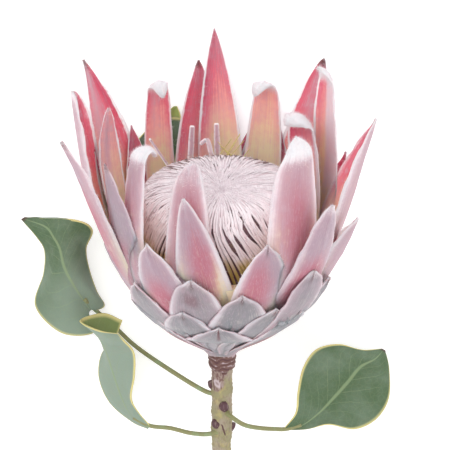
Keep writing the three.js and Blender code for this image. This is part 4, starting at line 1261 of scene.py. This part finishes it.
class Slit:
    """A gap between florets: it pushes the florets beside it apart."""

    def __init__(self, core, first_azimuth, first_height, last_azimuth, last_height, half):
        self.first, first_out = core.spot(first_azimuth, first_height)
        last, last_out = core.spot(last_azimuth, last_height)
        self.half = half
        self.length = np.linalg.norm(last - self.first)
        self.ahead = (last - self.first) / self.length
        self.face = unit(first_out + last_out)
        self.side = unit(np.cross(self.ahead, self.face))

    def opened(self, line, floret_half):
        """The floret's line, moved off the slit to the side on which most of it lies."""
        off = line - self.first
        share = np.clip((off @ self.ahead) / self.length, 0, 1)
        wide = np.sin(math.pi * share) * (np.abs(off @ self.face) < 6)
        aside = off @ self.side
        if not wide.any():
            return line
        turn = 1 if (aside * wide).sum() > 0 else -1
        need = np.maximum((self.half + floret_half) * wide, 1e-6)
        beside = np.maximum(turn * aside, 0)
        moved = beside + need * np.exp(-beside / need)
        pushed = np.where(turn * aside > -4, moved - turn * aside, 0) * (wide > 0)
        return line + turn * pushed[:, None] * self.side


def add_floret(clay, core, slits, ring, azimuth, random):
    """One floret: a narrow strip that climbs the core and bends over it, over the next ring."""
    share = np.linspace(0, 1, FLORET_STATIONS)
    end = ring["end"] + random.normal(0, 0.05)
    line, face = core.path(azimuth, ring["start"] + (end - ring["start"]) * share)
    width = ring["width"] * sizes().floret_width / MM * random.uniform(0.8, 1.1)
    thickness = sizes().floret_thickness / MM
    lift = ring["lift"] * share + random.normal(0, 0.12) + 0.5 * random.uniform(0, 1) * share**4
    line = line + face * lift[:, None]
    for slit in slits:
        line = slit.opened(line, width / 2)
    ahead = unit(np.gradient(line, axis=0))
    side = unit(np.cross(ahead, face))
    swing = random.normal(0, 0.06) * wave(2.5 * share, int(random.integers(1 << 30)), 2)
    line = line + swing[:, None] * side
    taper = np.interp(share, [0, 0.1, 0.78, 1], [0.8, 1, 0.95, 0.35])
    across, out = np.array(FLORET_SECTION).T
    rings = (
        line[:, None]
        + (width * taper)[:, None, None] * across[:, None] * side[:, None]
        + (thickness * taper)[:, None, None] * out[:, None] * face[:, None]
    )
    height = line[:, 2] - SEAT_FLOOR - CLEARANCE
    cotton = smoothstep(height, 35.5, 37.5) * (1 - smoothstep(height, 41, 45))
    crown = smoothstep(ring["end"], 1.2, 1.75)
    is_behind = abs((azimuth % 360) - RUSTY["azimuth"]) < RUSTY["within"]
    rusty = float(is_behind and ring["end"] < RUSTY["end"])
    rusty *= smoothstep(random.uniform(0, 1), 0.2, 0.5)
    clay.add_tube(
        rings,
        along=share[:, None],
        tone=random.uniform(0, 1),
        foot=(1 - smoothstep(height, 34, 37))[:, None],
        # painted shade between the florets: on the strip's sides, less on the crown
        flank=(np.abs(across) > 0.4) * (1 - 0.85 * crown),
        rust=(smoothstep(share, 0.82, 0.92) * rusty)[:, None],
        cotton=(cotton * random.uniform(0, 1))[:, None],
        wool=(smoothstep(share, 0.5, 0.9) * (0.1 + 1.4 * crown) * (1 - rusty))[:, None],
    )


def add_florets(clay, core):
    """Every ring of florets, each floret a little off its even place."""
    slits = [Slit(core, *row) for row in SLITS]
    random = np.random.default_rng(sizes().seed)
    for number, ring in enumerate(FLORET_RINGS):
        step = 360 / ring["count"]
        for k in range(ring["count"]):
            azimuth = step * (k + 0.5 * (number % 2)) + random.normal(0, 0.1 * step)
            add_floret(clay, core, slits, ring, azimuth, random)


def add_core(clay, core):
    """The dark body a little below the surface that the florets lie on: painted shade in their gaps."""
    radius = np.maximum(core.radius - core.out * CORE_DEPTH, 0.05)
    height = core.height - core.up * CORE_DEPTH
    turns = np.array([outward(k * 360 / CORE_SIDES) for k in range(CORE_SIDES)])
    rings = radius[:, None, None] * turns + height[:, None, None] * UP
    clay.add_tube(rings[::CORE_STRIDE])


def add_style(clay, row):
    """A loose style: a flat strap or a thread, whose tip may hook aside."""
    azimuth, foot_radius, foot_height, tip_radius, tip_height, lean, width, flat, hook, tone = row
    out, side = outward(azimuth), sideways(azimuth)
    foot = out * foot_radius + UP * foot_height
    tip = out * tip_radius + UP * tip_height + side * lean
    t = np.linspace(0, 1, STYLE_STATIONS)
    line = foot + t[:, None] * (tip - foot)
    if hook:
        end = tip + side * hook - UP * 0.6 * abs(hook)
        line = smooth_line([foot, 0.5 * (foot + tip) + UP, tip, end], t)
    half = width / 2 * np.interp(t, [0, 0.6, 0.96, 1], [1, 1, 0.85, 0.6])
    angles = np.arange(STYLE_SIDES) * 2 * math.pi / STYLE_SIDES
    ahead = unit(np.gradient(line, axis=0))
    broad = unit(side - ahead * (ahead @ side)[:, None])
    deep = np.cross(ahead, broad)
    section = (
        np.cos(angles)[:, None] * broad[:, None] + flat * np.sin(angles)[:, None] * deep[:, None]
    )
    rings = line[:, None] + half[:, None, None] * section
    clay.add_tube(rings, tone=tone, along=t[:, None], brim=np.abs(np.cos(angles)) ** 3)


class PROTEA_OT_florets(bpy.types.Operator):
    """Packed florets on their dark core, with their down and the loose styles behind them"""

    bl_idname = "protea.florets"
    bl_label = "Florets"

    def execute(self, context):
        core = Core()
        strips = Clay()
        add_florets(strips, core)
        florets = strips.piece("florets", floret_material(), smooth=False)
        down = hairs_on("floret_down", florets, DOWN_DENSITY, sizes().down_length, hair_material())
        settle(florets, "florets", "flower_dome")
        settle(down, "florets")

        body = Clay()
        add_core(body, core)
        settle(body.piece("floret_core", core_material()), "florets", "flower_dome")

        styles = Clay()
        for row in STYLES:
            add_style(styles, row)
        settle(styles.piece("loose_styles", style_material()), "florets", "flower_dome")
        return {"FINISHED"}


# Stem


def stem_centre(height):
    """The middle of the slightly bent stem at a height, which is below 0."""
    share = (-np.asarray(height, float) / STEM_LENGTH) ** 2
    return np.stack([STEM_BEND[0] * share, STEM_BEND[1] * share, np.asarray(height, float)], axis=-1)


def add_shoot(clay):
    """The shoot: a collar in folds, then bark with a worn patch, a leaf scar and a split."""
    depths, shares = zip(*STEM_OUTLINE)
    depth = np.linspace(CLEARANCE, STEM_LENGTH, STEM_RINGS)
    down = depth[:, None]
    radius = STEM_RADIUS * np.interp(depth, depths, shares)
    azimuths = np.arange(STEM_SIDES) * 360 / STEM_SIDES
    turns = np.array([outward(a) for a in azimuths])
    angle = np.radians(azimuths)
    round_to = (azimuths + 180) % 360 - 180

    frayed = COLLAR_DEPTH + 0.9 + 1.5 * np.sin(3 * angle + 1)
    frayed = frayed + 1.1 * np.sin(7 * angle) + 0.6 * np.sin(17 * angle)
    collar = smoothstep(frayed - down, -0.8, 1.0)
    folds = 0.9 * np.sin(2 * angle) + 0.6 * np.sin(5 * angle + 1) + 0.35 * np.sin(9 * angle + 2)
    ridge = np.abs(np.sin(down * 1.05 + folds + 0.5 * np.sin(3 * angle + down)))
    bark = 0.18 * wave(0.9 * down + 2 * np.sin(angle), 3) * (1 - collar)
    rough = 0.55 * collar * (ridge - 0.6) + bark

    patch = smoothstep(down, *WORN_PATCH["top"]) * (1 - smoothstep(down, *WORN_PATCH["foot"]))
    patch = patch * np.exp(-(((round_to - WORN_PATCH["azimuth"]) / WORN_PATCH["width"]) ** 2))
    scar_to = LEAF_SCAR["azimuth"] + 6 * np.sin(down)
    scar = np.exp(
        -(((round_to - scar_to) / LEAF_SCAR["width"]) ** 2)
        - ((down - LEAF_SCAR["depth"]) / LEAF_SCAR["height"]) ** 2
    )
    split_to = BARK_SPLIT["slant"] * (down - BARK_SPLIT["depth"])
    split = np.exp(-(((round_to - split_to) / BARK_SPLIT["width"]) ** 2))
    ends = smoothstep(down, *BARK_SPLIT["top"]) * (1 - smoothstep(down, *BARK_SPLIT["foot"]))
    split = split * ends

    reach = radius[:, None] + rough - 0.15 - 0.5 * split - 0.2 * scar
    clay.add_tube(
        stem_centre(-depth)[:, None] + reach[..., None] * turns,
        collar=collar, fold=ridge, patch=patch, scar=scar, split=split,
        bud=0.0, cut=smoothstep(down, STEM_LENGTH - 0.4, STEM_LENGTH - 0.1),
    )


def add_bud(clay, azimuth, height, radius, reach):
    """A flattened, knobbly bud that leans up and away from the stem."""
    out, side = outward(azimuth), sideways(azimuth)
    share = np.linspace(0, 1, BUD_STATIONS)
    fat = np.interp(share, *zip(*BUD_OUTLINE)) * radius
    root = stem_centre(height) + out * (STEM_RADIUS - BUD_ROOT)
    middle = (
        root
        + share[:, None] * reach * BUD_RISE[0] * out
        + share[:, None] * reach * BUD_RISE[1] * UP
    )
    turn = np.arange(BUD_SIDES) * 2 * math.pi / BUD_SIDES
    around = (
        np.cos(turn)[:, None] * side
        - np.sin(turn)[:, None] * BUD_FLATNESS * out
        + np.sin(turn)[:, None] * UP
    )
    knobs = 1 + 0.14 * wave(3 * turn + 5 * share[:, None], int(azimuth), 3)
    clay.add_tube(
        middle[:, None] + (fat[:, None] * knobs)[..., None] * around,
        **{**dict.fromkeys(clay.fields, 0.0), "fold": 1 - share[:, None], "bud": 1.0},
    )


class PROTEA_OT_stem(bpy.types.Operator):
    """Woody stem with its scaly collar, leaf scars and buds"""

    bl_idname = "protea.stem"
    bl_label = "Stem"

    def execute(self, context):
        clay = Clay()
        add_shoot(clay)
        for row in BUDS:
            add_bud(clay, *row)
        settle(clay.piece("woody_stem", stem_material()), "stem", "stem")
        return {"FINISHED"}


# Leaves


def blade_grid(rows, along, across):
    """Points of a smooth surface through the rows, and its unit normals."""
    rails = [smooth_line([row[j] for row in rows], along) for j in range(len(rows[0]))]
    grid = np.array([smooth_line([rail[i] for rail in rails], across) for i in range(len(along))])
    by_rows = np.gradient(grid, axis=0)
    by_columns = np.gradient(grid, axis=1)
    normal = np.cross(by_columns, by_rows)
    return grid, unit(normal)


def add_blade(clay, rows, turned, fresh, base_painted_light, stations=72, columns=33):
    """A leaf's blade with a raised midrib and a thicker horny margin."""
    pointed = np.ptp(np.array(rows[-1]), axis=0).max() < 3
    tip_dark = 1.0 if pointed else 0.0
    along = np.linspace(0, 1, stations)
    across = np.linspace(0, 1, columns)
    grid, normal = blade_grid(rows, along, across)
    u = 2 * across - 1
    # painted light: the upper face paler towards the base, in the lower face's colour
    base_light_share = base_painted_light * smoothstep(0.6 - along, 0.0, 0.4)[:, None]
    half = sizes().leaf_thickness / MM / 2
    rim_half = sizes().margin_width / MM / 2
    rib = np.exp(-((u / 0.06) ** 2)) * (1 - 0.7 * along)[:, None]
    edge = np.abs(u) ** 30
    thick = half * 0.8 + (rim_half - half * 0.8) * edge
    front = grid + normal * (thick + 0.1 * rib)[..., None]
    back = grid - normal * (thick + 0.45 * rib)[..., None]
    left = grid[:, 0] + 0.5 * rim_half * unit(grid[:, 0] - grid[:, 1])
    right = grid[:, -1] + 0.5 * rim_half * unit(grid[:, -1] - grid[:, -2])
    rings = np.concatenate([front, right[:, None], back[:, ::-1], left[:, None]], axis=1)
    loop = np.concatenate([across, [1.0], across[::-1], [0.0]])
    under = np.concatenate([np.zeros(columns), [0.5], np.ones(columns), [0.5]])
    clay.add_tube(
        rings,
        np.stack(np.broadcast_arrays(loop, along[:, None]), axis=-1),
        underside=np.maximum(1 - under if turned else under, base_light_share),
        rim=np.maximum(
            smoothstep(np.abs(2 * loop - 1), 0.965, 0.992),
            (1 - tip_dark) * smoothstep(along, 0.975, 0.99)[:, None]
            + 0.9 * np.exp(-(((along - fresh) / 0.015) ** 2))[:, None],
        ),
        # the yellow-green tip, and on a turned leaf painted light: the shaded face inside its roll half
        # yellow-green
        fresh=np.maximum(smoothstep(along, fresh, fresh + 0.04)[:, None], 0.5 * turned * under),
        stalk=0.0,
        dark=(tip_dark * (fresh > 1) * smoothstep(along, 0.975, 0.995))[:, None],
    )


def tube_along(line, radii, sides):
    """Rings of points round a line, carried along it without twisting."""
    tangent = unit(np.gradient(line, axis=0))
    normal = unit(np.cross(tangent[0], UP + 0.01))
    rings = []
    for place, ahead, radius in zip(line, tangent, radii):
        normal = unit(normal - ahead * np.dot(normal, ahead))
        side = np.cross(ahead, normal)
        angles = np.arange(sides) * 2 * math.pi / sides
        rings.append(
            place + radius * (np.cos(angles)[:, None] * normal + np.sin(angles)[:, None] * side)
        )
    return np.array(rings)


def add_petiole(clay, stalk, stations=60, sides=16):
    """A leaf's round stalk, thicker where it leaves the stem."""
    t = np.linspace(0, 1, stations)
    line = smooth_line(stalk, t)
    radii = PETIOLE_RADIUS * (1 - 0.15 * t + 0.5 * smoothstep(0.12 - t, 0.0, 0.12))
    fields = {**dict.fromkeys(clay.fields, 0.0), "stalk": 1.0}
    clay.add_tube(tube_along(line, radii, sides), **fields)


class PROTEA_OT_leaves(bpy.types.Operator):
    """The four leaves, each with its own stalk"""

    bl_idname = "protea.leaves"
    bl_label = "Leaves"

    def execute(self, context):
        skin = leaf_material()
        for node, own in LEAVES.items():
            leaf = {**PLAIN_LEAF, **own}
            clay = Clay()
            add_blade(clay, leaf["rows"], leaf["turned"], leaf["fresh"], leaf["base_painted_light"])
            add_petiole(clay, leaf["stalk"])
            settle(clay.piece(node.replace("leaf", "blade"), skin), "leaves", node)
        return {"FINISHED"}


# Stage


def lay_floor():
    """White paper that shines a little, so that it stays pale under the flower."""
    bpy.ops.mesh.primitive_plane_add(size=FLOOR_SIDE)
    floor = bpy.context.object
    floor.name = "studio_floor"
    material, tree, shader = new_material("studio_paper", Roughness=0.9)
    coat = tree.add("ShaderNodeTexCoord").outputs["Object"]
    grain = tree.smooth(tree.noise(coat, 3.0, 2.0), 0.3, 0.7, 0.98, 1.0)
    paper = colours().floor
    base = tree.mix(grain, tuple(0.97 * c for c in paper), paper)
    finish_surface(tree, shader, base)
    tree.tree.links.new(base, shader.inputs["Emission Color"])
    shader.inputs["Emission Strength"].default_value = 0.3
    floor.data.materials.append(material)


def light_studio(scene):
    """A white sky and the soft lamps, which point at the middle of the flower."""
    world = bpy.data.worlds.new("studio")
    world.use_nodes = True
    sky = world.node_tree.nodes["Background"]
    sky.inputs["Color"].default_value = (1.0, 1.0, 1.0, 1.0)
    sky.inputs["Strength"].default_value = SKY_STRENGTH
    scene.world = world
    middle = Vector((CAD_BOX[0] + CAD_BOX[1]) / 2)
    for name, (place, size, power) in LAMPS.items():
        light = bpy.data.lights.new(name, "AREA")
        light.shape = "DISK"
        light.size = size
        light.energy = power
        lamp = bpy.data.objects.new(name, light)
        lamp.location = place
        lamp.rotation_euler = (middle - Vector(place)).to_track_quat("-Z", "Y").to_euler()
        scene.collection.objects.link(lamp)


def place_camera(scene):
    """The camera in the photograph's place, with the photograph's scale at the head."""
    rise = math.radians(CAMERA_RISE)
    half = PHOTO_PIXELS / 2
    target = np.array([
        (half - HEAD_BASE_PIXEL[0]) * MM_PER_PIXEL,
        0.0,
        (HEAD_BASE_PIXEL[1] - half) * MM_PER_PIXEL / math.cos(rise),
    ])
    away = np.array([0.0, -math.cos(rise), math.sin(rise)])
    eye = Vector(laid(target + CAMERA_DISTANCE * away))
    aim = Vector(laid(target))
    above = Vector(laid(target + 10 * UP)) - aim
    camera = bpy.data.objects.new("camera", bpy.data.cameras.new("camera"))
    camera.data.sensor_width = SENSOR
    camera.data.lens = SENSOR * CAMERA_DISTANCE / (MM_PER_PIXEL * PHOTO_PIXELS)
    back = (eye - aim).normalized()
    right = above.cross(back).normalized()
    over = back.cross(right)
    for i in range(3):
        camera.matrix_world[i][0] = right[i]
        camera.matrix_world[i][1] = over[i]
        camera.matrix_world[i][2] = back[i]
        camera.matrix_world[i][3] = eye[i]
    scene.collection.objects.link(camera)
    scene.camera = camera


class PROTEA_OT_stage(bpy.types.Operator):
    """Pale floor, soft studio light and the camera"""

    bl_idname = "protea.stage"
    bl_label = "Stage"

    def execute(self, context):
        context.scene.view_settings.view_transform = "Standard"
        lay_floor()
        light_studio(context.scene)
        place_camera(context.scene)
        return {"FINISHED"}


class PROTEA_PT_panel(bpy.types.Panel):
    """The flower's pieces and values"""

    bl_label = "Protea flower"
    bl_idname = "PROTEA_PT_panel"
    bl_space_type = "VIEW_3D"
    bl_region_type = "UI"
    bl_category = "Protea"

    def draw(self, context):
        for operator in OPERATORS:
            self.layout.operator(operator.bl_idname)
        for group in (context.scene.protea_sizes, context.scene.protea_colours):
            for name in group.__annotations__:
                self.layout.prop(group, name)


OPERATORS = (PROTEA_OT_bracts, PROTEA_OT_florets, PROTEA_OT_stem, PROTEA_OT_leaves, PROTEA_OT_stage)
CLASSES = (ProteaSizes, ProteaColours, *OPERATORS, PROTEA_PT_panel)


def register():
    for item in CLASSES:
        bpy.utils.register_class(item)
    bpy.types.Scene.protea_sizes = PointerProperty(type=ProteaSizes)
    bpy.types.Scene.protea_colours = PointerProperty(type=ProteaColours)


def unregister():
    del bpy.types.Scene.protea_colours
    del bpy.types.Scene.protea_sizes
    for item in reversed(CLASSES):
        bpy.utils.unregister_class(item)


def main():
    register()
    bpy.ops.protea.bracts()
    bpy.ops.protea.florets()
    bpy.ops.protea.stem()
    bpy.ops.protea.leaves()
    bpy.ops.protea.stage()


if __name__ == "__main__":
    main()
